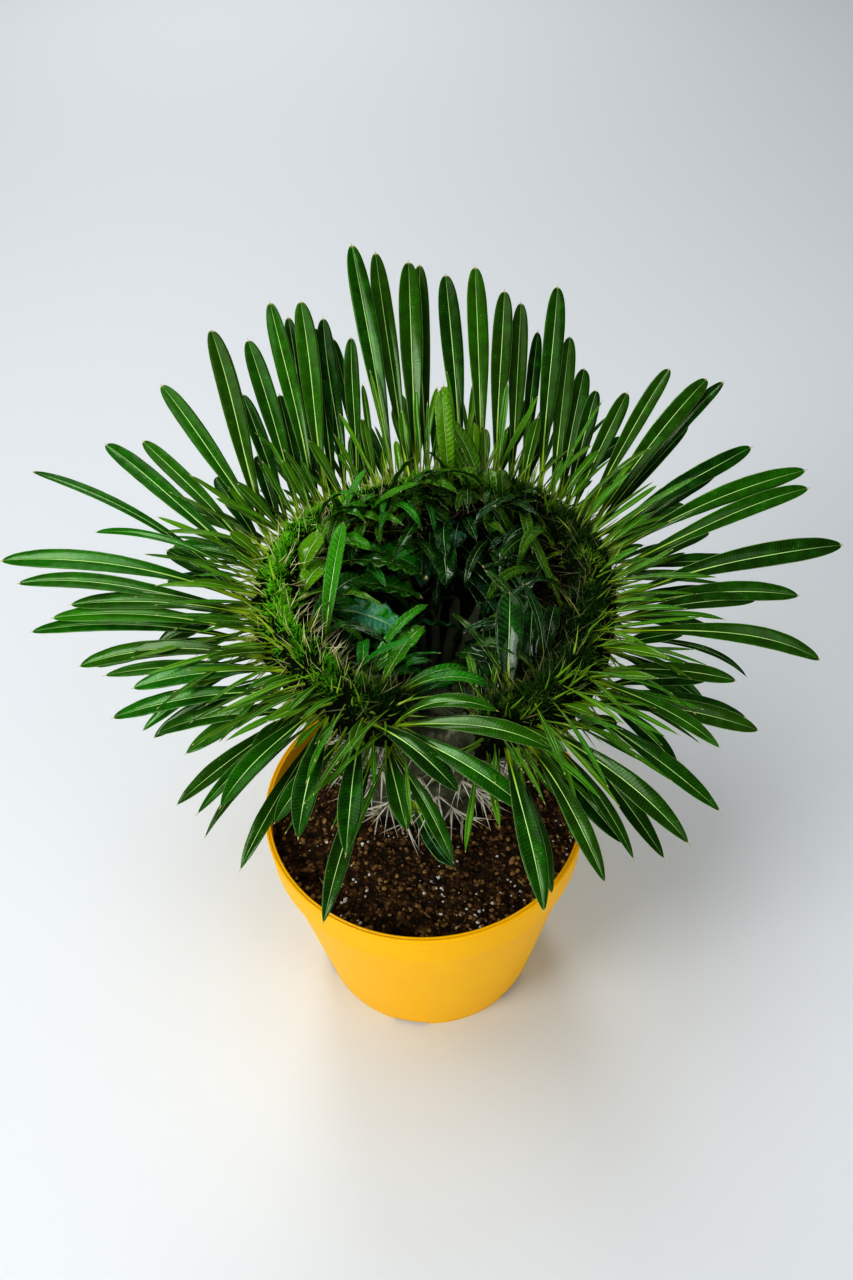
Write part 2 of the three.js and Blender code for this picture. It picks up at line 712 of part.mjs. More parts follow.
function makeGrowingEdge(neighbours) {
  const band = makeBand(RIDGE - 1, RIDGE + 1, EDGE_BAND);
  const draw = makeDraw(37);
  const needles = [];
  for (let i = 0; i < NEEDLE_COUNT; i += 1) {
    const station = mix(CREST_FROM_DEG + 2, CREST_TO_DEG - 2, (i + 0.5) / NEEDLE_COUNT);
    const row = RIDGE - 0.8 + 1.6 * draw();
    const out = outward(station, row);
    const root = surface(station, row).addScaledVector(out, GAP + EDGE_BAND / 2);
    const length = 13 + 7 * draw();
    // a needle that would cross a leaf is bent to another side
    for (let k = 0; k < NEEDLE_TRIES; k += 1) {
      const lean = 100 * (draw() - 0.5);
      const along = new THREE.Vector3(-sin(station), cos(station), 0);
      const ahead = out.clone().addScaledVector(along, sin(lean));
      ahead.z += 0.3;
      const needle = makePoint(root, ahead.normalize(), length, NEEDLE_RADIUS);
      if (!crosses(needle, neighbours)) {
        needles.push(needle);
        break;
      }
    }
  }
  return joined([band, ...needles]);
}

const SPINE_RINGS = 5; // rings of spine clusters, from just above the soil to the shoulder
const SPINES_ROUND = 10; // clusters in a ring
const SPINE_RADIUS = 0.8;
const SPINE_SPREAD = 0.8;
const SPINE_SUNK = 0.8;

function makeStem(neighbours) {
  const body = makeStemBody();
  const draw = makeDraw(53);
  const spines = [];
  for (let k = 0; k < SPINE_RINGS; k += 1) {
    for (let i = 0; i < SPINES_ROUND; i += 1) {
      const station = ((i + 0.5 * (k % 2)) * 360) / SPINES_ROUND;
      const row = SOCKET_ROWS.length - 0.62 + 0.5 * k + 0.12 * draw();
      const out = outward(station, row);
      const root = surface(station, row).addScaledVector(out, -SPINE_SUNK);
      // three spines, spread like a tripod
      for (const around of [90, 210, 330]) {
        const side = new THREE.Vector3(-sin(station), cos(station), 0);
        const up = out.clone().cross(side);
        const ahead = out.clone().addScaledVector(side, SPINE_SPREAD * cos(around + 20 * draw()));
        ahead.addScaledVector(up, SPINE_SPREAD * sin(around)).normalize();
        const spine = makePoint(root, ahead, 15 + 7 * draw(), SPINE_RADIUS);
        if (!crosses(spine, neighbours)) spines.push(spine);
      }
    }
  }
  return joined([body, ...spines]);
}

// ---------------------------------------------------------------- assembly
function finish(colour, roughness) {
  return new THREE.MeshStandardMaterial({ color: colour, roughness, metalness: 0 });
}

const materials = {
  pot: finish(0xf5b020, 0.4),
  soil: finish(0x2a1d16, 0.95),
  stem: finish(0x8a8676, 0.8),
  growing_edge: finish(0x5d9a2a, 0.55),
  outer_leaves: finish(0x1f6a2a, 0.35),
  inner_leaves: finish(0x2c7a34, 0.4),
};

const soil = makeSoil();
const outer = makeOuterLeaves();
const inner = makeInnerLeaves();
const solids = {
  pot: makePot(),
  soil,
  stem: makeStem([soil, outer, inner]),
  growing_edge: makeGrowingEdge([outer, inner]),
  outer_leaves: outer,
  inner_leaves: inner,
};

const palm = new THREE.Group();
palm.name = "crested_madagascar_palm";
for (const [name, solid] of Object.entries(solids)) {
  const { vertProperties, triVerts } = solid.getMesh();
  const geometry = new THREE.BufferGeometry();
  geometry.setAttribute("position", new THREE.BufferAttribute(vertProperties, 3));
  geometry.setIndex(new THREE.BufferAttribute(triVerts, 1));
  geometry.computeVertexNormals();
  const mesh = new THREE.Mesh(geometry, materials[name]);
  mesh.name = name;
  palm.add(mesh);
}

export default palm;
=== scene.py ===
"""Crested Madagascar palm, a cristate Pachypodium lamerei, in a tapered plastic pot.

Shapes are worked out in millimetres and turned to metres where a mesh is made.
+Z is up, +Y is the back of the plant, and the crest opens towards -Y.
"""

import math

import bpy
import numpy as np
from mathutils import Matrix, Vector, noise


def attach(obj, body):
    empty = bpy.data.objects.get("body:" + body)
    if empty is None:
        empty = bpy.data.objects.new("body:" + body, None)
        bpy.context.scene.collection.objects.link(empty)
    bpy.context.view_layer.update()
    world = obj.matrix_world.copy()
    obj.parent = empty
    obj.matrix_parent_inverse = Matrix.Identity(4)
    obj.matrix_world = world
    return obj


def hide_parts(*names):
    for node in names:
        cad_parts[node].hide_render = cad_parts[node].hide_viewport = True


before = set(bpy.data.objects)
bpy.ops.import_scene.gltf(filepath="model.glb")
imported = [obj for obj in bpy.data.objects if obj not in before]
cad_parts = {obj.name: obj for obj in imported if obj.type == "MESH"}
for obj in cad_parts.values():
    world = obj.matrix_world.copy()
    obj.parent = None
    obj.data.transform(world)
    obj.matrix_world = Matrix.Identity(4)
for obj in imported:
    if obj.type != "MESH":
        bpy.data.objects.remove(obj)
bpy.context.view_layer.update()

MM = 0.001

# ---------------- sizes, the same as the solids'
GAP = 0.3

POT_HEIGHT = 150
RIM_RADIUS = 100
BASE_RADIUS = 74
POT_WALL = 2.2
LIP_WIDTH = 3.6
COLLAR_FOOT = 125
COLLAR_STEP = 2.6
COLLAR_TAPER = 1.2
FOOT_HEIGHT = 3
FOOT_WIDTH = 5
FLOOR_TOP = 5.4
NOTCH_COUNT = 6
NOTCH_SPAN_DEG = 18
NOTCH_FIRST_DEG = -101
DRAIN_COUNT = 6
DRAIN_RADIUS = 4
DRAIN_CIRCLE = 48
DRAIN_SIDES = 24
POT_SIDES = 192
SHARP_FROM_DEG = 40
# corners of the lip: in from the rim, down from it, and rounding
RIM_CORNERS = [(0.5, 4.4, 0.6), (0, 3.8, 0.4), (0, 0, 1.2), (1.5, 0, 0.3)]
RIM_CORNERS += [(1.8, 0.5, 0.2), (2.1, 0.5, 0.2), (2.4, 0, 0.3), (LIP_WIDTH, 0, 0.9)]

SOIL_TOP = 137
SOIL_SIDES = 200
SOIL_ROWS = 74

FOOT_CENTRE = np.array([1.0, 26.0])
FOOT_HALF = (42, 36)
STUB_DEPTH = 38
STUB_TAPER = 0.55
CREST_CENTRE = np.array([8.0, 57.0])
CREST_RADIUS = 92
CREST_TOP = 276
CREST_LEAN = 11
MOUTH_DEG = 270
MOUTH_DROP = 38
FUNNEL_CENTRE = np.array([6.0, 46.0])
FUNNEL_FLOOR = 188
STATIONS = 40
CREST_FROM_DEG = -76.5
CREST_TO_DEG = 256.5

BAND = 3
ROOT_SUNK = 1.6
SAG_POWER = 1.4
LEAF_LEAN = 26  # turn of an outer leaf about its length, where it grows sideways


# ---------------- small helpers
def sin(degrees):
    return math.sin(math.radians(degrees))


def cos(degrees):
    return math.cos(math.radians(degrees))


def mix(a, b, share):
    return a + (b - a) * share


def smooth(low, high, value):
    t = np.clip((value - low) / (high - low), 0, 1)
    return t * t * (3 - 2 * t)


def bump(degrees, at, wide):
    """a bump of height 1 round the angle at, wide degrees to each side"""
    off = (degrees - at + 540) % 360 - 180
    return math.exp(-((off / wide) ** 2))


def make_draw(seed):
    """repeatable random numbers from 0 to 1"""
    state = [seed]

    def draw():
        state[0] = (state[0] * 1664525 + 1013904223) % 4294967296
        return state[0] / 4294967296

    return draw


def unit(vectors):
    return vectors / np.maximum(np.linalg.norm(vectors, axis=-1, keepdims=True), 1e-9)


def lumps(points, size, seed=0.0):
    """smooth noise from -1 to 1 at points in millimetres, with lumps of that size"""
    shift = Vector((seed * 17.3, seed * 5.1, seed * 9.7))
    values = [noise.noise(Vector(p) / size + shift) for p in np.reshape(points, (-1, 3))]
    return np.reshape(values, np.shape(points)[:-1])


# ---------------- meshes
def link_new(name, data):
    """an object with that data, in the scene"""
    thing = bpy.data.objects.new(name, data)
    bpy.context.scene.collection.objects.link(thing)
    return thing


def make_mesh(name, points, quads, triangles=(), marks=None):
    """an object from points in millimetres; marks give each point a number or a direction"""
    mesh = bpy.data.meshes.new(name)
    faces = [tuple(int(k) for k in face) for face in (*quads, *triangles)]
    mesh.from_pydata((np.asarray(points, float) * MM).tolist(), [], faces)
    mesh.update()
    for mark, values in (marks or {}).items():
        values = np.asarray(values, np.float32)
        kind, field = ("FLOAT", "value") if values.ndim == 1 else ("FLOAT_VECTOR", "vector")
        mesh.attributes.new(mark, kind, "POINT").data.foreach_set(field, values.ravel())
    mesh.shade_smooth()
    return link_new(name, mesh)


def tube_faces(rings, round_count, start=0):
    """quads of a tube of rings, each of round_count points"""
    ring = np.arange(rings - 1)[:, None] * round_count + start
    at = np.arange(round_count)[None, :]
    after = (at + 1) % round_count
    quads = np.stack([ring + at, ring + after, ring + after + round_count, ring + at + round_count], -1)
    return quads.reshape(-1, 4)


def fan(ring_start, round_count, centre, turned):
    """triangles that close a ring with a point at its centre"""
    at = np.arange(round_count)
    after = (at + 1) % round_count
    first, second = (after, at) if turned else (at, after)
    return np.stack([first + ring_start, second + ring_start, np.full(round_count, centre)], -1)


def closed_tube(name, rings, centres, marks=None):
    """a tube of rings, closed at both ends with a point in the middle of its first and last ring"""
    rows, sides = rings.shape[:2]
    points = rings.reshape(-1, 3)
    first = fan(0, sides, len(points), True)
    last = fan((rows - 1) * sides, sides, len(points) + 1, False)
    points = np.vstack([points, centres])
    return make_mesh(name, points, tube_faces(rows, sides), np.vstack([first, last]), marks)


def circle(sides):
    """directions all round, one for each side"""
    turns = np.radians(np.arange(sides) * 360 / sides)
    return np.stack([np.cos(turns), np.sin(turns)], -1)


def baked(thing):
    """the object with its modifiers turned into plain mesh"""
    evaluated = thing.evaluated_get(bpy.context.evaluated_depsgraph_get())
    mesh = bpy.data.meshes.new_from_object(evaluated)
    name = thing.name
    bpy.data.objects.remove(thing)
    mesh.name = name
    return link_new(name, mesh)


# ---------------- pot
def wall_radius(z):
    return mix(BASE_RADIUS, RIM_RADIUS - COLLAR_STEP - COLLAR_TAPER, z / COLLAR_FOOT)


def rounded(corners, steps=5):
    """a profile whose corners (r, z, radius) are rounded to their radius"""
    line = []
    for k, (r, z, radius) in enumerate(corners):
        here = np.array([r, z], float)
        if radius == 0 or k in (0, len(corners) - 1):
            line.append(here)
            continue
        before = unit(np.array(corners[k - 1][:2], float) - here)
        after = unit(np.array(corners[k + 1][:2], float) - here)
        for i in range(steps + 1):
            t = i / steps
            line.append(here + radius * ((1 - t) ** 2 * before + t**2 * after))
    return np.array(line)


def build_pot():
    """one turned shell with a collar, a grooved lip and a foot ring, less its notches and drains"""
    collar = wall_radius(COLLAR_FOOT) + COLLAR_STEP
    foot = BASE_RADIUS - FOOT_WIDTH
    step_foot = COLLAR_FOOT - 4
    # radius, height and rounding of each corner, from the middle underneath to the middle inside
    corners = [(0, FOOT_HEIGHT, 0), (foot, FOOT_HEIGHT, 0.6), (foot + 0.6, 0, 0.7), (BASE_RADIUS, 0, 0.9)]
    corners += [(wall_radius(COLLAR_FOOT - 1), COLLAR_FOOT - 1, 0.8), (collar, COLLAR_FOOT + 0.4, 1.0)]
    corners += [(RIM_RADIUS - inwards, POT_HEIGHT - down, radius) for inwards, down, radius in RIM_CORNERS]
    corners += [(collar - POT_WALL, COLLAR_FOOT, 1.2), (wall_radius(step_foot) - POT_WALL, step_foot, 1.2)]
    corners += [(wall_radius(FLOOR_TOP) - POT_WALL, FLOOR_TOP, 3), (0, FLOOR_TOP, 0)]
    profile = rounded(corners)[1:-1]
    turned = profile[:, :1, None] * circle(POT_SIDES)[None]
    heights = np.broadcast_to(profile[:, 1:, None], (len(profile), POT_SIDES, 1))
    middles = [[0, 0, FOOT_HEIGHT], [0, 0, FLOOR_TOP]]
    pot = closed_tube("pot_shell", np.concatenate([turned, heights], -1), middles)
    cutter = notch_cutter()
    cut = pot.modifiers.new("notches and drains", "BOOLEAN")
    cut.operation = "DIFFERENCE"
    cut.solver = "EXACT"
    cut.object = cutter
    pot = baked(pot)
    bpy.data.objects.remove(cutter)
    pot.data.shade_smooth()
    pot.data.set_sharp_from_angle(angle=math.radians(SHARP_FROM_DEG))
    return pot


def notch_cutter():
    """blocks for the notches in the foot ring and pins for the drain holes, in one mesh"""
    points, quads, triangles = [], [], []

    def prism(outline, low, high):
        start, n = len(points), len(outline)
        for z in (low, high):
            points.extend([x, y, z] for x, y in outline)
        points.extend([*np.mean(outline, 0), z] for z in (low, high))
        quads.extend(tube_faces(2, n, start))
        triangles.extend(fan(start, n, start + 2 * n, True))
        triangles.extend(fan(start + n, n, start + 2 * n + 1, False))

    half_width, half_depth = BASE_RADIUS * sin(NOTCH_SPAN_DEG / 2), 10
    for k in range(NOTCH_COUNT):
        at = NOTCH_FIRST_DEG + k * 360 / NOTCH_COUNT
        out, side = np.array([cos(at), sin(at)]), np.array([-sin(at), cos(at)])
        middle = out * BASE_RADIUS
        corners = [(a * half_depth, b * half_width) for a, b in ((-1, -1), (1, -1), (1, 1), (-1, 1))]
        prism([middle + out * a + side * b for a, b in corners], -3, FOOT_HEIGHT - 0.05)
    for k in range(DRAIN_COUNT):
        centre = DRAIN_CIRCLE * np.array([cos(k * 60), sin(k * 60)])
        turns = [i * 360 / DRAIN_SIDES for i in range(DRAIN_SIDES)]
        prism([centre + DRAIN_RADIUS * np.array([cos(a), sin(a)]) for a in turns], -2, FLOOR_TOP + 2)
    return make_mesh("notch_cutter", points, quads, triangles)


# ---------------- stem surface
def foot_radius(degrees, scale):
    return 1 / math.hypot(cos(degrees) / (FOOT_HALF[0] * scale), sin(degrees) / (FOOT_HALF[1] * scale))


def crest_radius(degrees):
    lobes = 4.5 * cos(3 * (degrees - 45)) + 4 * cos(degrees)
    return CREST_RADIUS + lobes - 14 * bump(degrees, 264, 16)


def crest_height(degrees):
    return CREST_TOP + CREST_LEAN * sin(degrees) + 2 * sin(5 * degrees + 40)


SOCKET_ROWS = [0, 0.5, 1]
FLARE_ROWS = [0.3, 0.62]
SHOULDER_DOWN, SHOULDER_OUT, SHOULDER_SPREAD = 45, -16, 0.75
# down from the ridge, out from it, and how far the centre has moved from the foot's to the crest's
OUTSIDE_ROWS = [(0, 0, 1), (4, 9, 1), (11, 12.7, 1), (20, 13, 1), (32, 8, 0.92)]
OUTSIDE_ROWS += [(SHOULDER_DOWN, SHOULDER_OUT, SHOULDER_SPREAD)]
FUNNEL_ROWS = [(0, 0), (0.05, -9), (0.14, -13), (0.26, -17), (0.55, -38), (1, -72)]
RIDGE = len(SOCKET_ROWS) + len(FLARE_ROWS) + len(OUTSIDE_ROWS) - 1
ROW_COUNT = RIDGE + len(FUNNEL_ROWS)
FUNNEL_LEAST = 12
STATION_STEP = 360 / STATIONS


def place(centre, radius, degrees, z):
    return np.array([centre[0] + radius * cos(degrees), centre[1] + radius * sin(degrees), z])


def row_point(degrees, row):
    """point of the stem in column angle degrees and row number row, before the mouth's cut"""
    ridge_z, ridge_r = crest_height(degrees), crest_radius(degrees)
    foot = foot_radius(degrees, 1)
    if row < len(SOCKET_ROWS):
        share = SOCKET_ROWS[row]
        radius = foot * mix(STUB_TAPER, 1, share)
        return place(FOOT_CENTRE, radius, degrees, SOIL_TOP - STUB_DEPTH * (1 - share))
    flare = row - len(SOCKET_ROWS)
    if flare < len(FLARE_ROWS):
        share = FLARE_ROWS[flare]
        spread = SHOULDER_SPREAD * share**1.3
        radius = mix(foot, ridge_r + SHOULDER_OUT, spread)
        z = mix(SOIL_TOP, ridge_z - SHOULDER_DOWN, share)
        return place(mix(FOOT_CENTRE, CREST_CENTRE, spread), radius, degrees, z)
    drop = MOUTH_DROP * bump(degrees, MOUTH_DEG, 8)
    inside_height = ridge_z - FUNNEL_FLOOR

    def outside_at(down):
        downs, outs, spreads = zip(*OUTSIDE_ROWS)
        out, spread = np.interp(down, downs, outs), np.interp(down, downs, spreads)
        centre = mix(FOOT_CENTRE, CREST_CENTRE, spread)
        return place(centre, mix(foot, ridge_r + out, spread), degrees, ridge_z - down)

    def inside_at(share):
        out = np.interp(share, *zip(*FUNNEL_ROWS))
        centre = mix(CREST_CENTRE, FUNNEL_CENTRE, share)
        return place(centre, max(ridge_r + out, FUNNEL_LEAST), degrees, ridge_z - share * inside_height)

    if row < RIDGE:
        down = OUTSIDE_ROWS[RIDGE - row][0]
        return outside_at(mix(drop, SHOULDER_DOWN, down / SHOULDER_DOWN))
    if row == RIDGE:
        return (outside_at(drop) + inside_at(drop / inside_height)) / 2
    return inside_at(mix(drop / inside_height, 1, FUNNEL_ROWS[row - RIDGE][0]))


COLUMN_ANGLES = (np.arange(STATIONS) + 0.5) * STATION_STEP
GRID = np.array([[row_point(angle, row) for row in range(ROW_COUNT)] for angle in COLUMN_ANGLES])


def surface(degrees, row):
    """point of the stem between its columns and rows; both may be arrays of one shape"""
    degrees, row = np.broadcast_arrays(np.asarray(degrees, float), np.asarray(row, float))
    low = np.clip(np.floor(row), 0, ROW_COUNT - 2).astype(int)
    column = degrees / STATION_STEP - 0.5
    left = np.floor(column).astype(int)
    up, across = (row - low)[..., None], (column - left)[..., None]
    near, far = left % STATIONS, (left + 1) % STATIONS
    on_near = mix(GRID[near, low], GRID[near, low + 1], up)
    on_far = mix(GRID[far, low], GRID[far, low + 1], up)
    return mix(on_near, on_far, across)


def outward(degrees, row):
    """direction out of the stem there"""
    reach = STATION_STEP / 2
    along = surface(degrees + reach, row) - surface(degrees - reach, row)
    up = surface(degrees, np.minimum(row + 0.35, ROW_COUNT - 1)) - surface(degrees, row - 0.35)
    return unit(np.cross(along, up))


def cubic(values, at, wraps):
    """values resampled along their first axis by a smooth curve through them"""
    low = np.floor(at).astype(int)
    t = (at - low).reshape((-1,) + (1,) * (values.ndim - 1))
    count = len(values)

    def pick(k):
        return values[k % count] if wraps else values[np.clip(k, 0, count - 1)]

    a, b, c, d = (pick(low + k) for k in (-1, 0, 1, 2))
    return b + 0.5 * t * (c - a + t * (2 * a - 5 * b + 4 * c - d + t * (3 * (b - c) + d - a)))


def skin(columns, rows):
    """the stem's smooth surface on a grid of angles and rows, and its directions outwards"""
    points = cubic(GRID, columns / STATION_STEP - 0.5, True)
    points = cubic(points.swapaxes(0, 1), rows, False).swapaxes(0, 1)
    along = np.roll(points, -1, 0) - np.roll(points, 1, 0)
    up = np.gradient(points, axis=1)
    return points, unit(np.cross(along, up))


# ---------------- stem
TUBERCLES_ROUND = 13
TUBERCLE_RISE = 15  # height between two rings of tubercles
TUBERCLE_LEVELS = 7


def tubercle_field(degrees, z):
    """1 on top of each tubercle of the bare stem and 0 between them"""
    turn = TUBERCLES_ROUND * degrees / 360
    level = (z - SOIL_TOP) / TUBERCLE_RISE
    one = np.cos(2 * np.pi * (turn + level / 2))
    other = np.cos(2 * np.pi * (turn - level / 2))
    return smooth(-0.2, 1.0, 0.5 * (one + other))


def build_stem():
    """the trunk with its tubercles and the inside of the funnel with its ribs"""
    columns = np.arange(240) * 1.5
    rows = np.concatenate([np.linspace(0, 2, 8), np.linspace(2, 10, 62)[1:], np.linspace(10, 15, 34)[1:]])
    points, out = skin(columns, rows)
    degrees, row = np.meshgrid(columns, rows, indexing="ij")
    outside = smooth(1.6, 2.2, row) * (1 - smooth(6.5, 8, row))
    inside = smooth(11.5, 13, row)
    ribs = np.cos(np.radians(degrees * 26 + 40 * np.sin(np.radians(degrees * 3))))
    lift = 2.2 * tubercle_field(degrees, points[..., 2]) * outside
    lift += inside * (1.2 * ribs + 0.5 * np.cos(row * 14 + degrees * 0.2))
    lift += 0.8 * lumps(points, 9, 1) + 0.35 * lumps(points, 2.6, 2)
    points = points + out * lift[..., None]
    knob = tubercle_field(degrees, points[..., 2]) * outside
    marks = {
        "knob": np.append(knob.T, [0, 0]),
        # painted shade: this mark is high in the gaps between the ribs inside the funnel, which the bark
        # finish darkens nearly to black
        "rib_gap_shade": np.append((0.5 - 0.5 * ribs * inside).T, [0.5, 0.5]),
        "inside": np.append(inside.T, [0, 1]),
    }
    centres = [points[:, 0].mean(0), points[:, -1].mean(0)]
    return closed_tube("stem_bark", points.swapaxes(0, 1), centres, marks)


def outside_row(degrees, z):
    """row of the outside of the stem that lies at height z"""
    rows = np.linspace(2, 9, 71)
    heights = surface(degrees, rows)[:, 2]
    return float(np.interp(z, heights, rows))


def build_spine_points():
    """a point with a direction and a reach for each spine, six on top of every tubercle"""
    draw = make_draw(53)
    roots, aheads, reaches = [], [], []
    for level in range(TUBERCLE_LEVELS):
        z = SOIL_TOP + 1.5 + TUBERCLE_RISE * level
        for k in range(TUBERCLES_ROUND):
            station = (k + 0.5 * (level % 2)) * 360 / TUBERCLES_ROUND
            if z > surface(station, 8.4)[2]:
                continue
            row = outside_row(station, z)
            out = outward(station, row)
            root = surface(station, row) + out * 1.2
            side = np.array([-sin(station), cos(station), 0])
            up = np.cross(out, side)
            turn = 50 * (draw() - 0.5)
            for around in (60, 115, 170, 225, 285, 340):
                spread = 0.7 + 0.5 * draw()
                angle = around + turn + 24 * (draw() - 0.5)
                ahead = unit(out + spread * (cos(angle) * side + sin(angle) * up))
                if (root + ahead * 20)[2] < SOIL_TOP + 2:
                    ahead = unit(ahead + np.array([0, 0, 0.5]))
                roots.append(root)
                aheads.append(ahead)
                reaches.append((17 + 14 * draw()) * MM)
    return make_mesh("spine_points", roots, [], marks={"ahead": aheads, "reach": reaches})


# ---------------- crest
def build_crest_felt():
    """the cushion of needle bases that lies over the ridge of the crest"""
    columns = np.arange(CREST_FROM_DEG - 5, CREST_TO_DEG + 5.1, 2.0)
    rows = np.linspace(RIDGE - 4.2, RIDGE + 4.6, 58)
    degrees, row = np.meshgrid(columns, rows, indexing="ij")
    points, out = surface(degrees, row), outward(degrees, row)
    along = smooth(0, 7, degrees - columns[0]) * smooth(0, 7, columns[-1] - degrees)
    across = smooth(0, 1.2, row - rows[0]) * smooth(0, 1.2, rows[-1] - row)
    rough = 0.9 * lumps(points, 7, 3) + 0.7 * lumps(points, 2.5, 4)
    lift = (3.6 + rough) * along * across - 0.6
    over, under = points + out * lift[..., None], points - out * 1.2

    clump = smooth(-0.12, 0.22, lumps(points, 8, 9))
    sides = 0.75 + 0.25 * smooth(0.75, 0.2, np.sin(np.radians(degrees)))
    step = row - RIDGE
    flank = smooth(0.4, -0.8, step)
    inside = smooth(-0.6, 0.5, step) * smooth(4.6, 2.8, step)
    marks = {
        "green": np.exp(-((step / 0.8) ** 2)) * (0.08 + 0.92 * clump) * sides * along,
        "straw": (inside + 0.3 * flank) * along * across,
        "flank": flank * along * across,
        # painted light: near 1 on the left of the crest and 0.1 on the right; where it is low, the needles
        # and spines take a painted shade colour
        "young": 0.1 + 0.9 * smooth(0.15, -0.6, np.cos(np.radians(degrees + 25))),
    }
    loop = np.concatenate([over, under[:, ::-1]], 1)
    ring = loop.shape[1]
    ends = []
    for start, turned in ((0, True), ((len(columns) - 1) * ring, False)):
        for i in range(len(rows) - 1):
            corners = [start + i, start + i + 1, start + ring - 2 - i, start + ring - 1 - i]
            ends.append(corners[::-1] if turned else corners)
    faces = np.vstack([tube_faces(len(columns), ring), ends])[:, ::-1]
    values = {name: np.concatenate([v, np.zeros_like(v)], 1).ravel() for name, v in marks.items()}
    return make_mesh("crest_felt", loop.reshape(-1, 3), faces, (), values)


# ---------------- leaves
TIER_ROWS = (RIDGE - 1.5, RIDGE - 2.2, RIDGE - 3)

# station on the crest, tier, turn from straight out, rise, length, width, sag, and youth if any
OUTER_LEAVES = [
    # back
    (103, 0, 2, 63, 149, 13.5, 12), (98, 0, 2, 58, 144, 12.5, 12), (94, 0, -3, 57, 136, 15, 10),
    (90, 1, 1, 55, 139, 12, 10), (130, 0, -32, 46, 137, 14, 12), (134, 1, -30, 48, 144, 12.5, 14),
    (132, 2, -31, 44, 143, 11, 12), (122, 1, -25, 48, 124, 12, 10), (126, 1, -29, 45, 122, 11, 10),
    (118, 0, -28, 48, 104, 10, 10), (112, 1, -7, 45, 110, 8, 14), (82, 0, 21, 80, 59, 8, 8, 1.0),
    (74, 0, 10, 74, 34, 8, 40, 0.5), (158, 0, -50, 41, 149, 14, 14), (142, 0, -34, 39, 128, 13, 12),
    (146, 1, -36, 33, 106, 10.5, 15), (138, 1, -34, 40, 88, 10, 10), (154, 1, -27, 30, 139, 12.5, 14),
    (150, 1, -43, 30, 66, 10, 20), (160, 1, -40, 24, 74, 10, 20),
    # left
    (166, 0, -34, 23, 123, 10.5, 15), (170, 0, -32, 22, 143, 12.5, 18), (174, 2, -20, 35, 163, 6.5, 35),
    (174, 0, -14, 32, 111, 5, 55), (178, 1, -8, 21, 158, 12.5, 35), (182, 1, -9, 18, 143, 10.5, 30),
    (186, 0, -13, 11, 113, 11, 25), (190, 1, -18, 11, 125, 11, 25), (190, 2, -16, 13, 139, 10.5, 30),
    (198, 2, -21, 14, 113, 11.5, 40), (202, 1, -30, 9, 92, 10, 30), (202, 2, -19, 12, 94, 8.5, 25),
    (214, 0, -33, 7, 89, 11, 30), (222, 1, -44, 3, 111, 11.5, 30), (228, 2, -56, 1, 100, 10.5, 40),
    (176, 2, -36, 14, 78, 10.5, 20), (180, 2, -6, 20, 52, 8, 15), (158, 2, -1, 24, 54, 7.5, 20),
    # back right
    (78, 0, 16, 52, 129, 14, 10), (71, 0, 19, 52, 135, 13.5, 10), (66, 0, 18, 51, 122, 13, 10),
    (61, 1, 22, 50, 122, 11.5, 10), (57, 1, 23, 47, 108, 9, 12), (50, 0, 31, 46, 139, 13.5, 12),
    (46, 1, 33, 44, 114, 11.5, 10), (43, 1, 32, 40, 100, 12.5, 15), (41, 1, 28, 40, 87, 10.5, 15),
    (38, 1, 21, 37, 94, 11, 15), (31, 0, 25, 31, 127, 11, 18), (29, 1, 17, 33, 133, 13.5, 20),
    (29, 2, 14, 33, 144, 10, 20), (29, 2, 14, 32, 106, 9.5, 20), (22, 1, 5, 26, 117, 12, 20),
    (21, 2, 9, 27, 94, 9.5, 20), (16, 1, 3, 22, 138, 13, 22),
    # right
    (6, 0, 16, 17, 140, 12, 22), (10, 2, 9, 23, 69, 9, 20), (-6, 0, 21, 13, 150, 15, 25),
    (-6, 1, 9, 14, 110, 12, 30), (-10, 1, 15, 15, 84, 10, 25), (-18, 0, 15, 9, 129, 12, 45),
    (-22, 1, 33, 17, 46, 9, 25), (-14, 2, 10, 7, 91, 4.5, 60), (-30, 1, 25, 7, 76, 10, 25),
    (-34, 2, 39, 11, 66, 10, 25), (-34, 2, 26, 3, 87, 8, 30), (-52, 0, 56, -3, 119, 12, 30),
    (-38, 0, 10, 3, 80, 8.5, 40), (-54, 2, 70, -3, 36, 9, 15),
    # front
    (234, 1, 27, 13, 78, 13.5, 45), (246, 1, 18, 13, 75, 12.5, 50), (230, 1, 1, 10, 77, 12, 40),
    (230, 2, -2, 8, 90, 5, 50), (226, 2, 2, 7, 84, 7, 30), (226, 2, -8, 3, 40, 11, 20),
    (246, 0, 74, 12, 67, 12.5, 50), (251, 0, 75, 12, 100, 12, 50), (253, 2, 29, 2, 52, 12, 35),
    (253, 2, 48, -3, 75, 9, 50), (254, 0, 86, 29, 93, 10.5, 50), (255, 0, 91, 60, 68, 8, 85),
    (-71, 1, -11, 8, 93, 12.5, 52), (-70, 2, -7, 4, 79, 10, 52), (-66, 1, 0, 8, 88, 10.5, 48),
    (-58, 2, -2, 6, 80, 7, 48), (-62, 0, 20, 6, 100, 12, 42),
]

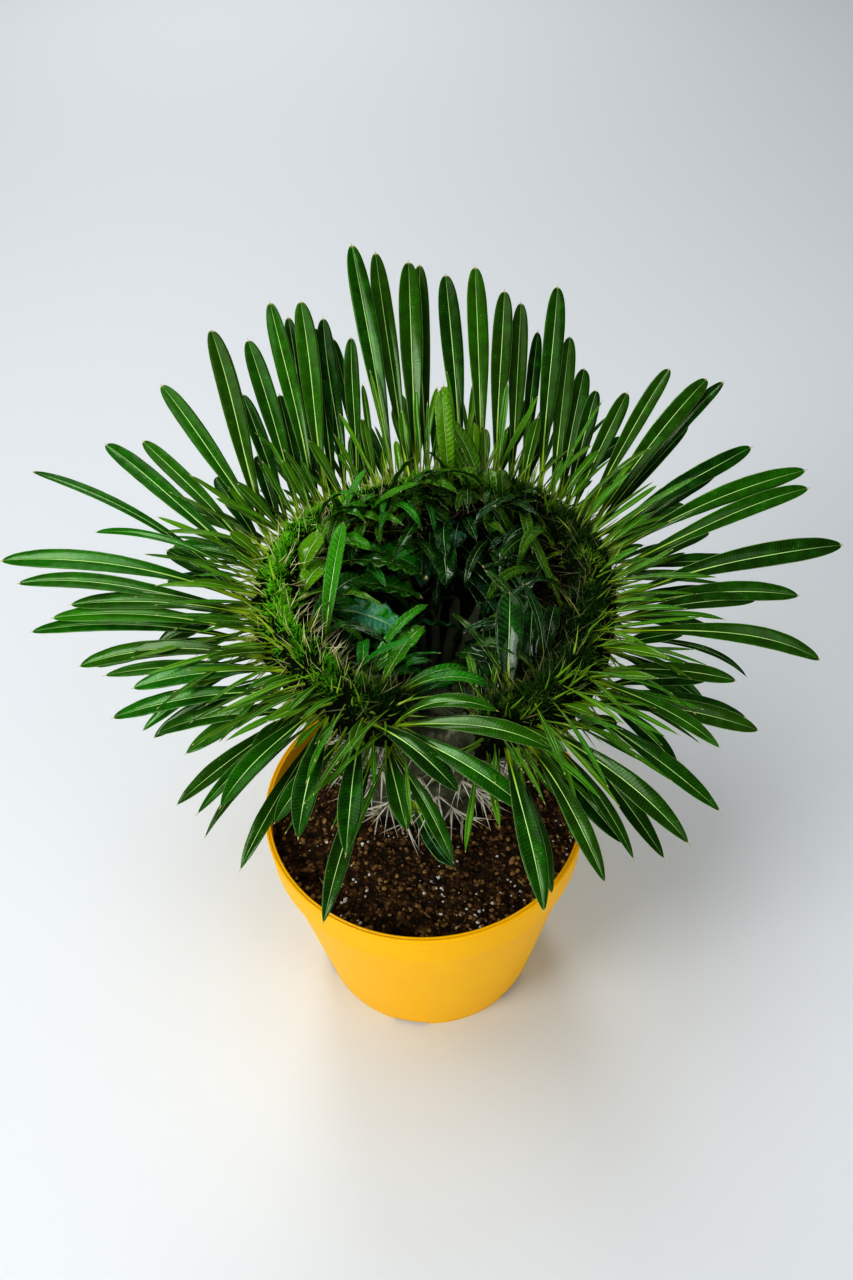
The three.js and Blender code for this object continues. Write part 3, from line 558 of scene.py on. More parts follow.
# station, row step down from the ridge, turn from straight in, rise, length, width, sag,
# sideways sweep, youth, crinkle
INNER_LEAVES = [
    # back
    (80, 1.45, -155, 78, 71, 11.5, 10, 0, 1.0, 0.1), (65, 1.45, -122, 70, 61, 12, 60, 0, 0.45, 0.3),
    (68, 1.45, -116, 70, 49, 9.5, 50, 0, 0.6, 0.3), (69, 1.55, -104, 74, 37, 13, 60, 0, 0.75, 0.5),
    (71, 1.6, -131, 88, 26, 12, 30, 0, 0.8, 0.5), (62, 1.45, -136, 88, 25, 11, 30, 0, 0.6, 0.5),
    (57, 1.5, -128, 88, 28, 11.5, 30, 0, 0.4, 0.5), (53, 1.9, -99, 80, 25, 12, 60, 0, 0.3, 0.5),
    (96, 2.9, -172, 80, 38, 11, 20, 0, 0.8, 0.3), (110, 2.6, 88, 85, 24, 8.5, 120, 0, 0.7, 0.3),
    (80, 1.6, -90, 72, 30, 12, 80, 0, 0.35, 0.6), (76, 1.8, -70, 80, 20, 11, 120, 0, 0.3, 0.6),
    (75, 2.6, 6, 40, 36, 14.5, 80, 0, -0.5, 0.7), (65, 1.45, 49, 30, 43, 10, 110, 0, 0.2, 0.4),
    (64, 3.2, -70, 76, 20, 12, 60, 0, 0.9, 0.4), (78, 3.2, 41, 20, 57, 15.5, 60, 0, 0.0, 0.4),
    (76, 3.7, 53, 10, 47, 14.5, 60, 0, -0.2, 0.4), (87, 2.7, 9, 30, 58, 15.5, 100, 0, 0.0, 0.6),
    (94, 3.1, -5, 30, 43, 14, 110, 0, -0.3, 0.7),
    # left
    (136, 1.45, 99, 66, 44, 5.5, 50, 0, 0.2, 0.1), (166, 1.8, 54, 82, 32, 16, 60, 0, 0.8, 0.4),
    (174, 2.2, 54, 80, 30, 14, 110, 0, 0.85, 0.4), (143, 1.8, 72, 85, 23, 14, 100, 0, 0.7, 0.4),
    (150, 1.6, 76, 82, 26, 11, 110, 0, 0.6, 0.3), (203, 2.9, 51, 62, 78, 10, 30, 0, 0.25, 0.1),
    (152, 3.3, 51, 30, 64, 8.5, 50, 0, 0.0, 0.2), (150, 2.6, 6, 36, 72, 20.5, 62, 0, 0.12, 1.0),
    (160, 3.1, 5, 32, 67, 17, 60, 0, 0.15, 1.0), (170, 3.2, -14, 26, 58, 21.5, 55, 0, -0.8, 1.0),
    (172, 3.9, 18, 16, 75, 14.5, 45, 0, -0.5, 0.9), (206, 3.8, 16, 24, 52, 14.5, 40, 0, 0.3, 0.2),
    (140, 2.9, 25, 36, 57, 17, 90, 0, 0.0, 1.0),
    # mouth
    (252, 1.7, -55, 36, 46, 8, 70, 0, 0.1, 0.1), (254, 1.6, -80, 46, 57, 8, 90, 0, 0.1, 0.1),
    # right
    (-38, 4.2, -44, 66, 46, 9.5, 20, 0, 0.0, 0.2), (-49, 3.8, -49, 62, 67, 11.5, 30, 0, 0.05, 0.2),
    (-61, 2.0, -32, 60, 58, 15, 30, 0, 0.0, 0.2), (-47, 2.7, -48, 60, 50, 12, 30, 0, 0.0, 0.2),
    (-40, 2.2, -67, 55, 42, 9, 60, 0, 0.0, 0.3), (-27, 3.2, -106, 60, 29, 5.5, 10, 0, 0.9, 0.1),
    (-2, 3.4, -59, 45, 66, 9.5, 60, 0, 0.1, 0.2), (25, 3.5, -54, 20, 26, 11, 50, 0, 0.0, 0.3),
    (34, 3.5, -76, 66, 45, 8.5, 60, 0, 0.0, 0.3), (29, 2.4, 20, 20, 35, 12, 90, 0, 0.0, 0.4),
    (43, 1.8, 12, 20, 41, 12, 90, 0, 0.0, 0.4),
]


def usual_rise(degrees):
    s = sin(degrees)
    return 14 + 36 * max(s, 0) ** 1.2 - 8 * max(-s, 0)


def root_on(degrees, row):
    return surface(degrees, row) + outward(degrees, row) * (GAP + BAND - ROOT_SUNK)


def outer_light(heading):
    """how much painted light goes into the colour of a leaf outside: most on the left, least on the right,
    and less where it points to the back or the front
    """
    from_left = mix(0.42, 0.9, smooth(0.3, -0.6, cos(heading)))
    return from_left * mix(1, 0.6, smooth(0.3, 0.8, abs(sin(heading))))


def inner_light(root):
    """how much painted light goes into the colour of a leaf in the funnel: less from left to right"""
    return mix(1.6, 0.1, smooth(-40, 25, root[0]))


def stations(count, draw=None, inset=0, low=CREST_FROM_DEG, high=CREST_TO_DEG):
    """angles along the crest, each in the middle of its share, or anywhere in it where draw is given"""
    for i in range(count):
        yield mix(low + inset, high - inset, (i + (draw() if draw else 0.5)) / count)


def new_leaf(root, heading, rise, length, width, sag, **looks):
    """the measures of one leaf; its tip is blunt at the back and more pointed at the front"""
    leaf = dict(root=root, heading=heading, rise=rise, length=length, width=width, sag=sag)
    leaf |= dict(sweep=0, youth=0, crinkle=0.1, lean=0, lit=1, base=0.18)
    leaf["blunt"] = float(np.clip(0.45 + 0.75 * sin(heading), 0.05, 1))
    return leaf | looks


def outer_leaves():
    """the listed leaves outside the crest, with lower and newer ones between them"""
    looks, draw = make_draw(101), make_draw(11)
    leaves = []
    for station, tier, turn, rise, length, width, sag, *youth in OUTER_LEAVES:
        heading = station + turn
        shown = dict(youth=youth[0] if youth else 0.12 * looks(), crinkle=0.12 * looks())
        shown |= dict(lean=LEAF_LEAN, lit=outer_light(heading))
        root = root_on(station, TIER_ROWS[tier])
        leaves.append(new_leaf(root, heading, rise, length, width, sag, **shown))
    for station in stations(36, inset=2):
        root = root_on(station, TIER_ROWS[2] - 0.35 + 0.5 * draw())
        heading = station + 24 * (draw() - 0.5)
        sizes = (usual_rise(station) - 6 - 16 * draw(), 62 + 40 * draw(), 9 + 3 * draw(), 18 + 16 * draw())
        shown = dict(youth=0.1 * looks(), crinkle=0.15 * looks(), lean=LEAF_LEAN, lit=outer_light(heading))
        leaves.append(new_leaf(root, heading, *sizes, **shown))
    for station in stations(24, inset=4):
        root = root_on(station, TIER_ROWS[0] + 0.25)
        heading = station + 40 * (draw() - 0.5)
        sizes = (usual_rise(station) + 14 + 10 * draw(), 24 + 22 * draw(), 6 + 2.5 * draw(), 15)
        # painted shade: these short leaves by the ridge get less painted light in their colour
        leaves.append(new_leaf(root, heading, *sizes, youth=0.12 + 0.3 * looks(), crinkle=0.2, lit=0.6))
    return leaves


def slender_leaves():
    """narrow leaves that fill the crest's flank between the broad ones, and one leaf low on the stem"""
    draw = make_draw(107)
    leaves = []
    for station in stations(250, draw, inset=-2):
        below = 2.6 * draw()
        root = root_on(station, RIDGE - 0.3 - below)
        heading = station + 50 * (draw() - 0.5)
        rise = usual_rise(station) + 14 - 12 * below + 14 * (draw() - 0.5)
        sizes = (rise, 26 + 46 * draw() ** 1.5, 2.2 + 2.4 * draw(), 30 * draw())
        leaves.append(new_leaf(root, heading, *sizes, youth=0.16 + 0.4 * draw() ** 2))
    low = surface(258, outside_row(258, 160))
    leaves.append(new_leaf(low, -76, -24, 50, 13.5, -24, sweep=30, youth=-0.25, crinkle=0.3, base=0.4))
    return leaves


def curled_leaves():
    """small crinkled leaves that fill the funnel of the crest and crown its back"""
    draw = make_draw(109)
    leaves = []
    for station in stations(90, draw, inset=2):
        root = root_on(station, RIDGE + 1.3 + 3.2 * draw())
        heading = station + 180 + 130 * (draw() - 0.5)
        sizes = (20 + 55 * draw(), 32 + 36 * draw(), 4.5 + 3.5 * draw(), 40 + 100 * draw())
        shown = dict(sweep=90 * (draw() - 0.5), youth=0.6 * draw() ** 4 - 0.04, crinkle=0.3 + 0.6 * draw())
        leaves.append(new_leaf(root, heading, *sizes, base=0.5, lit=inner_light(root), **shown))
    for station in stations(44, draw, 0, 38, 150):
        root = root_on(station, RIDGE + 0.7 + 1.3 * draw())
        heading = station + 180 + 150 * (draw() - 0.5)
        sizes = (60 + 28 * draw(), 24 + 30 * draw(), 4.5 + 3 * draw(), 30 + 110 * draw())
        shown = dict(sweep=90 * (draw() - 0.5), youth=0.05 + 0.5 * draw() ** 2, crinkle=0.3 + 0.5 * draw())
        leaves.append(new_leaf(root, heading, *sizes, base=0.5, lit=inner_light(root), **shown))
    return leaves


def inner_leaves():
    """the listed leaves inside the crest, with curled ones between them"""
    looks, draw = make_draw(103), make_draw(23)
    leaves = []
    for station, below, turn, rise, length, width, sag, sweep, youth, crinkle in INNER_LEAVES:
        root = root_on(station, RIDGE + max(below, 1.45))
        shown = dict(sweep=sweep, youth=youth, crinkle=crinkle, base=0.34, lit=inner_light(root))
        leaves.append(new_leaf(root, station + 180 + turn, rise, length, width, sag, **shown))
    for station in stations(26, inset=6):
        root = root_on(station, RIDGE + 1.5 + 2.6 * draw())
        heading = station + 180 + 80 * (draw() - 0.5)
        sizes = (30 + 30 * draw(), 28 + 22 * draw(), 9 + 4 * draw(), 50 + 50 * draw())
        shown = dict(youth=0.4 * looks() ** 2, crinkle=0.3 + 0.6 * looks(), lit=inner_light(root))
        leaves.append(new_leaf(root, heading, *sizes, **shown))
    return leaves


# points across a leaf, from its left edge to its right
ACROSS = np.array([-1, -0.8, -0.48, -0.15, 0, 0.15, 0.48, 0.8, 1])
RING_ACROSS = np.concatenate([ACROSS, ACROSS[-2:0:-1]])
RING_UNDER = np.concatenate([[0.5], np.zeros(7), [0.5], np.ones(7)])
LEAF_ROWS = 27
SLENDER_ROWS = 14
PATH_STEPS = 48
MUCRO = 1.8


def strap_width(s, blunt, base):
    """half width of a strap leaf along its length, as a share of its greatest half width"""
    widest = 0.68
    t = np.clip(s / widest, 0, 1)
    rising = mix(base, 1, t * t * (3 - 2 * t))
    u = np.clip((s - widest) / (1 - widest), 0, 1)
    tip = np.maximum(0, 1 - u ** mix(1.7, 3.2, blunt)) ** mix(0.8, 0.5, blunt)
    return np.where(s > widest, tip, rising)


def leaf_blade(leaf, draw, rows):
    """points of one leaf as rings round it, the tip's point, and how far along it each ring lies"""
    length, half_width, crinkle = leaf["length"], leaf["width"] / 2, leaf["crinkle"]
    s = 1 - (1 - np.linspace(0, 1, rows)) ** 1.5

    def direction(t):
        pitch = np.radians(leaf["rise"] - leaf["sag"] * t**SAG_POWER)
        turn = np.radians(leaf["heading"] + leaf["sweep"] * t)
        flat = np.cos(pitch)
        return np.stack([np.cos(turn) * flat, np.sin(turn) * flat, np.sin(pitch)], -1), turn

    ahead, _ = direction((np.arange(PATH_STEPS) + 0.5) / PATH_STEPS)
    path = np.vstack([leaf["root"], leaf["root"] + np.cumsum(ahead * length / PATH_STEPS, 0)])
    centre = np.stack([np.interp(s, np.linspace(0, 1, PATH_STEPS + 1), path[:, k]) for k in range(3)], -1)
    ahead, turn = direction(s)
    side = np.stack([-np.sin(turn), np.cos(turn), np.zeros_like(turn)], -1)
    face = np.cross(ahead, side)

    lean = leaf["lean"] * cos(leaf["heading"]) * smooth(0.05, 0.5, s)
    twist = np.radians((draw() - 0.5) * mix(16, 90, crinkle) * s + (draw() - 0.5) * 10 + lean)[:, None]
    side, face = side * np.cos(twist) + face * np.sin(twist), face * np.cos(twist) - side * np.sin(twist)
    sway = (draw() - 0.5) * mix(0.016, 0.05, crinkle) * length * np.sin(np.pi * s * (1 + draw()))
    centre = centre + side * sway[:, None]

    half = np.maximum(half_width * strap_width(s, leaf["blunt"], leaf["base"]), 0.3)
    x, out = RING_ACROSS[None, :], np.abs(RING_ACROSS)[None, :]
    run = (s * length)[:, None]
    fold = (0.5 + 0.18 * draw()) * mix(1.3, 0.55, np.minimum(1, 1.2 * s))[:, None]
    rolled = 0.12 + 0.3 * crinkle * draw()
    lift = half[:, None] * (fold * out - rolled * out**2)
    wave = 2 * np.pi * (run / mix(17, 9, crinkle) + draw() + 0.25 * np.sign(x))
    ripple = mix(0.10, 1.5, crinkle) * np.minimum(1, half_width / 7) * out**1.6 * np.sin(wave)
    pucker = crinkle * 0.5 * np.sin(2 * np.pi * (run - 5 * out) / 4.2) * (1 - out) * out * 4
    lift = lift + ripple * smooth(0.12, 0.35, s)[:, None] + pucker * smooth(0.15, 0.3, s)[:, None]
    edge = np.sqrt(np.maximum(0, 1 - x**2))
    body = (0.75 - 0.3 * s)[:, None] * edge * np.minimum(1, half[:, None] / 1.2)
    keel = (0.9 - 0.65 * s)[:, None] * np.exp(-((x / 0.17) ** 2)) * np.minimum(1, half[:, None] / 1.5)
    groove = 0.12 * np.exp(-((x / 0.12) ** 2)) * smooth(0.05, 0.2, s)[:, None]
    lift = np.where(RING_UNDER[None, :] > 0.6, lift - body - keel, lift + 0.12 * edge - groove)

    aside = side[:, None] * (x * half[:, None])[..., None]
    points = centre[:, None] + aside + face[:, None] * lift[..., None]
    return points, centre[-1] + ahead[-1] * MUCRO * (0.5 + draw()), s


def build_leaves(name, leaves, seed, rows=LEAF_ROWS):
    draw = make_draw(seed)
    ring = len(RING_ACROSS)
    per_leaf = rows * ring + 2
    points, quads, triangles, marks = [], [], [], {}
    for k, leaf in enumerate(leaves):
        start = k * per_leaf
        rings, tip, along = leaf_blade(leaf, draw, rows)
        points += [rings.reshape(-1, 3), rings[0].mean(0)[None], tip[None]]
        along = np.repeat(along, ring)
        alike = np.ones(per_leaf - 2)
        # painted light: tone is a random tone times the leaf's painted light, lit
        tone, youth, length = draw() * leaf["lit"], leaf["youth"], leaf["length"]
        # each mark on the rings, in the middle of the first ring and at the tip
        leaf_marks = {
            "across": (np.tile(RING_ACROSS, rows), 0, 0),
            "under": (np.tile(RING_UNDER, rows), 0.5, 0),
            "along": (along * 0.985, 0, 1),
            "run": (along * length, 0, length),
            "tone": (alike * tone, tone, tone),
            "youth": (alike * youth, youth, youth),
        }
        for key, values in leaf_marks.items():
            marks.setdefault(key, []).append(np.hstack(values))
        quads.append(tube_faces(rows, ring, start)[:, ::-1])
        triangles.append(fan(start, ring, start + per_leaf - 2, False))
        triangles.append(fan(start + (rows - 1) * ring, ring, start + per_leaf - 1, True))
    values = {key: np.concatenate(kept) for key, kept in marks.items()}
    return make_mesh(name, np.vstack(points), np.vstack(quads), np.vstack(triangles), values)


# ---------------- soil
def soil_relief(x, y):
    """height of the soil over its level, in a few sizes of clods"""
    points = np.stack([x, y, np.zeros_like(x)], -1)
    height = 1.6 * lumps(points, 24, 5) + 1.0 * lumps(points, 9, 6)
    return height + 0.7 * lumps(points, 4, 7) + 0.4 * lumps(points, 2, 8)


def build_soil():
    """the soil with its rough top, whose marks say where crumbs and grains lie"""
    ring = circle(SOIL_SIDES)
    wall = wall_radius(COLLAR_FOOT) + COLLAR_STEP - POT_WALL - 0.2
    bottom, plug = FLOOR_TOP + GAP, SOIL_TOP - 9
    profile = [(wall_radius(bottom) - POT_WALL - 1.0, bottom)]
    profile += [(wall_radius(z) - POT_WALL - 0.4, z) for z in (40, 80, COLLAR_FOOT - 4)]
    profile += [(wall - 0.8, COLLAR_FOOT + 2), (wall, SOIL_TOP - 4)]
    rings = [np.column_stack([ring * radius, np.full(SOIL_SIDES, z)]) for radius, z in profile]
    angles = np.arange(SOIL_SIDES) * 360 / SOIL_SIDES
    foot = np.array([FOOT_CENTRE + (foot_radius(a, 1) - 1.5) * np.array([cos(a), sin(a)]) for a in angles])
    ground = mix((ring * wall)[None], foot[None], np.linspace(0, 1, SOIL_ROWS)[:, None, None])
    height = np.minimum(SOIL_TOP - 0.6 + soil_relief(ground[..., 0], ground[..., 1]), SOIL_TOP + 2.6)
    rings += [np.column_stack(row) for row in zip(ground, height)]
    rings.append(np.column_stack([mix(foot, FOOT_CENTRE, 0.1), np.full(SOIL_SIDES, plug)]))
    rings = np.array(rings)
    open_ground = np.zeros(rings.shape[:2])
    open_ground[len(profile) + 1 : len(profile) + SOIL_ROWS - 6] = 1
    patches = smooth(-0.25, 0.45, lumps(rings, 26, 11))
    marks = {"open_ground": open_ground, "gritty_ground": open_ground * patches}
    marks = {name: np.append(values, [0, 0]) for name, values in marks.items()}
    return closed_tube("soil_bed", rings, [[0, 0, bottom], [*FOOT_CENTRE, plug]], marks)


# ---------------- node trees
class Tree:
    """a node tree, filled one node at a time"""

    def __init__(self, tree):
        self.tree = tree

    def put(self, value, socket):
        if isinstance(value, bpy.types.NodeSocket):
            self.tree.links.new(value, socket)
        else:
            socket.default_value = value

    def add(self, kind, numbered=None, **named):
        """a node; names with a capital and numbers are its sockets, and the other names its settings"""
        node = self.tree.nodes.new(kind)
        sockets = dict(numbered or {})
        for name, value in named.items():
            if name[0].isupper():
                sockets[name.replace("_", " ")] = value
            else:
                setattr(node, name, value)
        for key, value in sockets.items():
            self.put(value, node.inputs[key])
        return node

    def first(self, kind, numbered=None, **named):
        """the first output of a new node"""
        return self.add(kind, numbered, **named).outputs[0]

    def math(self, operation, a, b=0.0):
        return self.first("ShaderNodeMath", {0: a, 1: b}, operation=operation)

    def plus(self, a, b):
        return self.math("ADD", a, b)

    def times(self, a, b):
        return self.math("MULTIPLY", a, b)

    def step(self, value, low, high, to_low=0.0, to_high=1.0):
        """to_low where value is low, to_high where it is high, and a smooth change between"""
        values = dict(Value=value, From_Min=low, From_Max=high, To_Min=to_low, To_Max=to_high)
        return self.add("ShaderNodeMapRange", interpolation_type="SMOOTHSTEP", **values).outputs["Result"]

    def blend(self, share, a, b):
        settings = dict(data_type="RGBA", blend_type="MIX", clamp_factor=True)
        return self.add("ShaderNodeMix", {0: share, 6: a, 7: b}, **settings).outputs[2]

    def noise(self, where, scale, detail):
        return self.first("ShaderNodeTexNoise", Vector=where, Scale=scale, Detail=detail, Roughness=0.55)

    def mark(self, name):
        """the value of one of a mesh's marks"""
        return self.add("ShaderNodeAttribute", attribute_name=name).outputs["Fac"]

    def object_place(self):
        return self.add("ShaderNodeTexCoord").outputs["Object"]

    def random(self, low, high, seed, triple=False, **more):
        """a random number from low to high, or three of them"""
        start, kind = (0, "FLOAT_VECTOR") if triple else (2, "FLOAT")
        values = {start: low, start + 1: high}
        node = self.add("FunctionNodeRandomValue", values, Seed=seed, data_type=kind, **more)
        return node.outputs[0 if triple else 1]

    def give(self, **values):
        """the group, with what it gives linked to its outputs"""
        for name, value in values.items():
            self.put(value, self.output.inputs[name])
        return self.tree


VALUE, COUNT, COLOUR = "NodeSocketFloat", "NodeSocketInt", "NodeSocketColor"
SHAPE, FINISH = "NodeSocketGeometry", "NodeSocketMaterial"
SORTS = {float: VALUE, int: COUNT, tuple: COLOUR}


def new_group(kind, name, takes, gives):
    """an empty node group with those named sockets: its tree and what it takes"""
    group = bpy.data.node_groups.new(name, kind)
    for in_out, sockets in (("INPUT", takes), ("OUTPUT", gives)):
        for label, start in sockets.items():
            sort = SORTS.get(type(start), start)
            socket = group.interface.new_socket(label.replace("_", " "), in_out=in_out, socket_type=sort)
            if sort != start:
                socket.default_value = start
    tree = Tree(group)
    tree.output = tree.add("NodeGroupOutput")
    return tree, tree.add("NodeGroupInput").outputs


def tint(code):
    """a colour from its hexadecimal code, in the linear values that a shader takes"""
    parts = [int(code[k : k + 2], 16) / 255 for k in (0, 2, 4)]
    linear = [p / 12.92 if p <= 0.04045 else ((p + 0.055) / 1.055) ** 2.4 for p in parts]
    return (*linear, 1.0)


# ---------------- shader groups
def mottle_group():
    """soft blotches and fine grain of one colour, used on every finish but the leaves'"""
    takes = dict(Colour=(0.5, 0.5, 0.5, 1), Dark=(0.2, 0.2, 0.2, 1), Light=(0.8, 0.8, 0.8, 1))
    takes |= dict(Blotch_Scale=60.0, Grain_Scale=900.0, Darkening=0.3, Lightening=0.3)
    tree, take = new_group("ShaderNodeTree", "mottle", takes, dict(Colour=COLOUR, Grain=VALUE, Blotch=VALUE))
    where = tree.object_place()
    blotch = tree.noise(where, take["Blotch Scale"], 4.0)
    dark = tree.times(tree.step(blotch, 0.5, 0.3), take["Darkening"])
    light = tree.times(tree.step(blotch, 0.52, 0.72), take["Lightening"])
    colour = tree.blend(light, tree.blend(dark, take["Colour"], take["Dark"]), take["Light"])
    return tree.give(Colour=colour, Grain=tree.noise(where, take["Grain Scale"], 2.0), Blotch=blotch)


def leaf_group():
    """colour, roughness and relief of a leaf with its midrib, side veins, margin and base"""
    takes = dict(Deep=(0.001, 0.024, 0.0, 1), Fresh=(0.014, 0.175, 0.0, 1), Young=(0.20, 0.42, 0.002, 1))
    takes |= dict(Bluish=(0.13, 0.42, 0.28, 1), Rib=(0.62, 0.87, 0.34, 1), Base=(0.40, 0.56, 0.03, 1))
    takes |= dict(Underside=(0.03, 0.12, 0.002, 1), Tip=tint("cdbf8e"), Vein_Spacing=1.9, Gloss=0.17)
    gives = dict(Colour=COLOUR, Roughness=VALUE, Height=VALUE)
    tree, take = new_group("ShaderNodeTree", "leaf surface", takes, gives)
    along, youth = tree.mark("along"), tree.mark("youth")
    where = tree.object_place()
    out = tree.math("ABSOLUTE", tree.mark("across"))
    rib_edge = tree.step(along, 0.5, 0.08, 0.045, 0.28)
    rib = tree.step(out, rib_edge, tree.times(rib_edge, 0.7))
    blotch = tree.noise(where, 130.0, 4.0)
    speckle = tree.noise(where, 1500.0, 2.0)
    underneath = tree.step(tree.mark("under"), 0.45, 0.6)

    # side veins leave the midrib and run towards the tip
    slant = tree.plus(tree.math("DIVIDE", tree.mark("run"), take["Vein Spacing"]), tree.times(out, -1.1))
    slant = tree.plus(slant, tree.times(blotch, 0.9))
    blade = tree.step(out, 0.06, 0.16)
    vein = tree.times(tree.step(tree.math("SINE", tree.times(slant, 2 * math.pi)), 0.86, 1.0), blade)

    # painted light: the tone mark carries each leaf's painted light as well as its random tone
    shade = tree.plus(tree.times(tree.mark("tone"), 0.55), tree.times(blotch, 0.7))
    bluish = tree.times(tree.times(youth, -1.0), tree.step(blotch, 0.42, 0.53))
    margin = tree.times(tree.step(out, 0.93, 0.98), tree.step(along, 0.1, 0.3, 0.1, 0.5))
    rib_colour = tree.blend(tree.step(along, 0.5, 0.15), take["Rib"], take["Base"])
    # dried water spots and dust
    spots = tree.add("ShaderNodeTexVoronoi", Vector=where, Scale=330.0).outputs["Distance"]
    spots = tree.times(tree.step(spots, 0.16, 0.06), tree.step(blotch, 0.5, 0.62))
    colour = tree.blend(tree.step(shade, 0.25, 0.95), take["Deep"], take["Fresh"])
    for share, over in (
        # painted shade: the lower part of each blade is darkened towards Deep
        (tree.step(along, 0.6, 0.12, 0.0, 0.7), take["Deep"]),
        (tree.math("MAXIMUM", youth, 0.0), take["Young"]),
        (tree.math("MAXIMUM", bluish, 0.0), take["Bluish"]),
        (tree.times(vein, 0.05), take["Rib"]),
        (margin, take["Rib"]),
        (underneath, take["Underside"]),
        (tree.times(rib, tree.step(along, 1.0, 0.6, 0.4, 0.95)), rib_colour),
        (tree.step(along, 0.2, 0.04, 0.0, 0.95), take["Base"]),
        (tree.step(along, 0.972, 0.985), take["Tip"]),
        (tree.times(spots, 0.28), tint("cfd8b8")),
    ):
        colour = tree.blend(share, colour, over)

    rough = tree.plus(take["Gloss"], tree.times(speckle, 0.16))
    rough = tree.plus(tree.plus(rough, tree.times(underneath, 0.22)), tree.times(spots, 0.2))
    # the blade bulges between its veins and stands out at the midrib
    height = tree.times(tree.math("ABSOLUTE", tree.math("SINE", tree.times(slant, math.pi))), blade)
    height = tree.plus(tree.times(height, 0.5), tree.times(speckle, 0.5))
    height = tree.plus(height, tree.times(tree.noise(where, 420.0, 2.0), 1.3))
    return tree.give(Colour=colour, Roughness=rough, Height=tree.plus(height, tree.times(rib, 0.8)))


# ---------------- finishes
def new_finish(name):
    """an empty material with its surface shader: the tree and the shader"""
    finish = bpy.data.materials.new(name)
    finish.use_nodes = True
    finish.node_tree.nodes.clear()
    tree = Tree(finish.node_tree)
    shader = tree.add("ShaderNodeBsdfPrincipled")
    output = tree.add("ShaderNodeOutputMaterial")
    tree.put(shader.outputs["BSDF"], output.inputs["Surface"])
    return finish, tree, shader


def paint(tree, shader, colour, rough, specular, height=None, depth=0.001, strength=1.0):
    """fills a shader; its relief is that height, depth metres deep"""
    tree.put(colour, shader.inputs["Base Color"])
    tree.put(rough, shader.inputs["Roughness"])
    shader.inputs["Specular IOR Level"].default_value = specular
    if height is not None:
        bump_node = tree.add("ShaderNodeBump", Height=height, Distance=depth, Strength=strength)
        tree.put(bump_node.outputs["Normal"], shader.inputs["Normal"])


def use_group(tree, group, **values):
    return tree.add("ShaderNodeGroup", node_tree=group, **values).outputs


def leaf_finish(name, group, depth, strength, coat, **colours):
    finish, tree, shader = new_finish(name)
    leaf = use_group(tree, group, **colours)
    paint(tree, shader, leaf["Colour"], leaf["Roughness"], 0.16, leaf["Height"], depth, strength)
    shader.inputs["Specular Tint"].default_value = (0.5, 1, 0.3, 1)
    shader.inputs["Coat Weight"].default_value = coat
    shader.inputs["Coat Roughness"].default_value = 0.1
    return finish


def pot_finish(mottle):
    finish, tree, shader = new_finish("orange_yellow_plastic")
    values = dict(Colour=(0.95, 0.52, 0.0, 1), Dark=(0.92, 0.47, 0.0, 1), Light=(0.98, 0.57, 0.0, 1))
    values |= dict(Blotch_Scale=14.0, Grain_Scale=1800.0, Darkening=0.5, Lightening=0.5)
    plastic = use_group(tree, mottle, **values)
    rough = tree.plus(tree.plus(0.34, tree.times(plastic["Grain"], 0.12)), tree.times(plastic["Blotch"], 0.1))
    paint(tree, shader, plastic["Colour"], rough, 0.18, plastic["Grain"], 0.00005, 0.6)
    shader.inputs["Subsurface Weight"].default_value = 0.08
    shader.inputs["Subsurface Radius"].default_value = (0.004, 0.002, 0.0005)
    return finish


def soil_finish(mottle, name, base, dark, light, rough=0.9):
    finish, tree, shader = new_finish(name)
    values = dict(Colour=tint(base), Dark=tint(dark), Light=tint(light))
    values |= dict(Blotch_Scale=160.0, Grain_Scale=1500.0, Darkening=0.9, Lightening=0.7)
    earth = use_group(tree, mottle, **values)
    colour = tree.blend(tree.step(tree.mark("tone"), 0.7, 1.0, 0.0, 0.9), earth["Colour"], tint(light))
    rough = tree.plus(rough - 0.15, tree.times(earth["Grain"], 0.2))
    paint(tree, shader, colour, rough, 0.2, earth["Grain"], 0.0008)
    return finish


def bark_finish(mottle):
    finish, tree, shader = new_finish("grey_green_bark")
    values = dict(Colour=(0.10, 0.11, 0.06, 1), Dark=(0.012, 0.02, 0.006, 1), Light=(0.40, 0.41, 0.27, 1))
    values |= dict(Blotch_Scale=110.0, Grain_Scale=1300.0, Darkening=0.8, Lightening=0.8)
    bark = use_group(tree, mottle, **values)
    colour = tree.blend(tree.times(tree.mark("knob"), 0.5), bark["Colour"], (0.16, 0.16, 0.10, 1))
    colour = tree.blend(tree.times(tree.mark("inside"), 0.8), colour, (0.34, 0.42, 0.24, 1))
    # painted shade: the gaps between the ribs inside the funnel are darkened nearly to black
    rib_gap_shade = tree.times(tree.step(tree.mark("rib_gap_shade"), 0.45, 0.95), 0.8)
    colour = tree.blend(rib_gap_shade, colour, (0.012, 0.016, 0.007, 1))
    height = tree.plus(bark["Grain"], tree.times(bark["Blotch"], 1.5))
    paint(tree, shader, colour, tree.plus(0.5, tree.times(bark["Grain"], 0.3)), 0.25, height, 0.0012)
    return finish


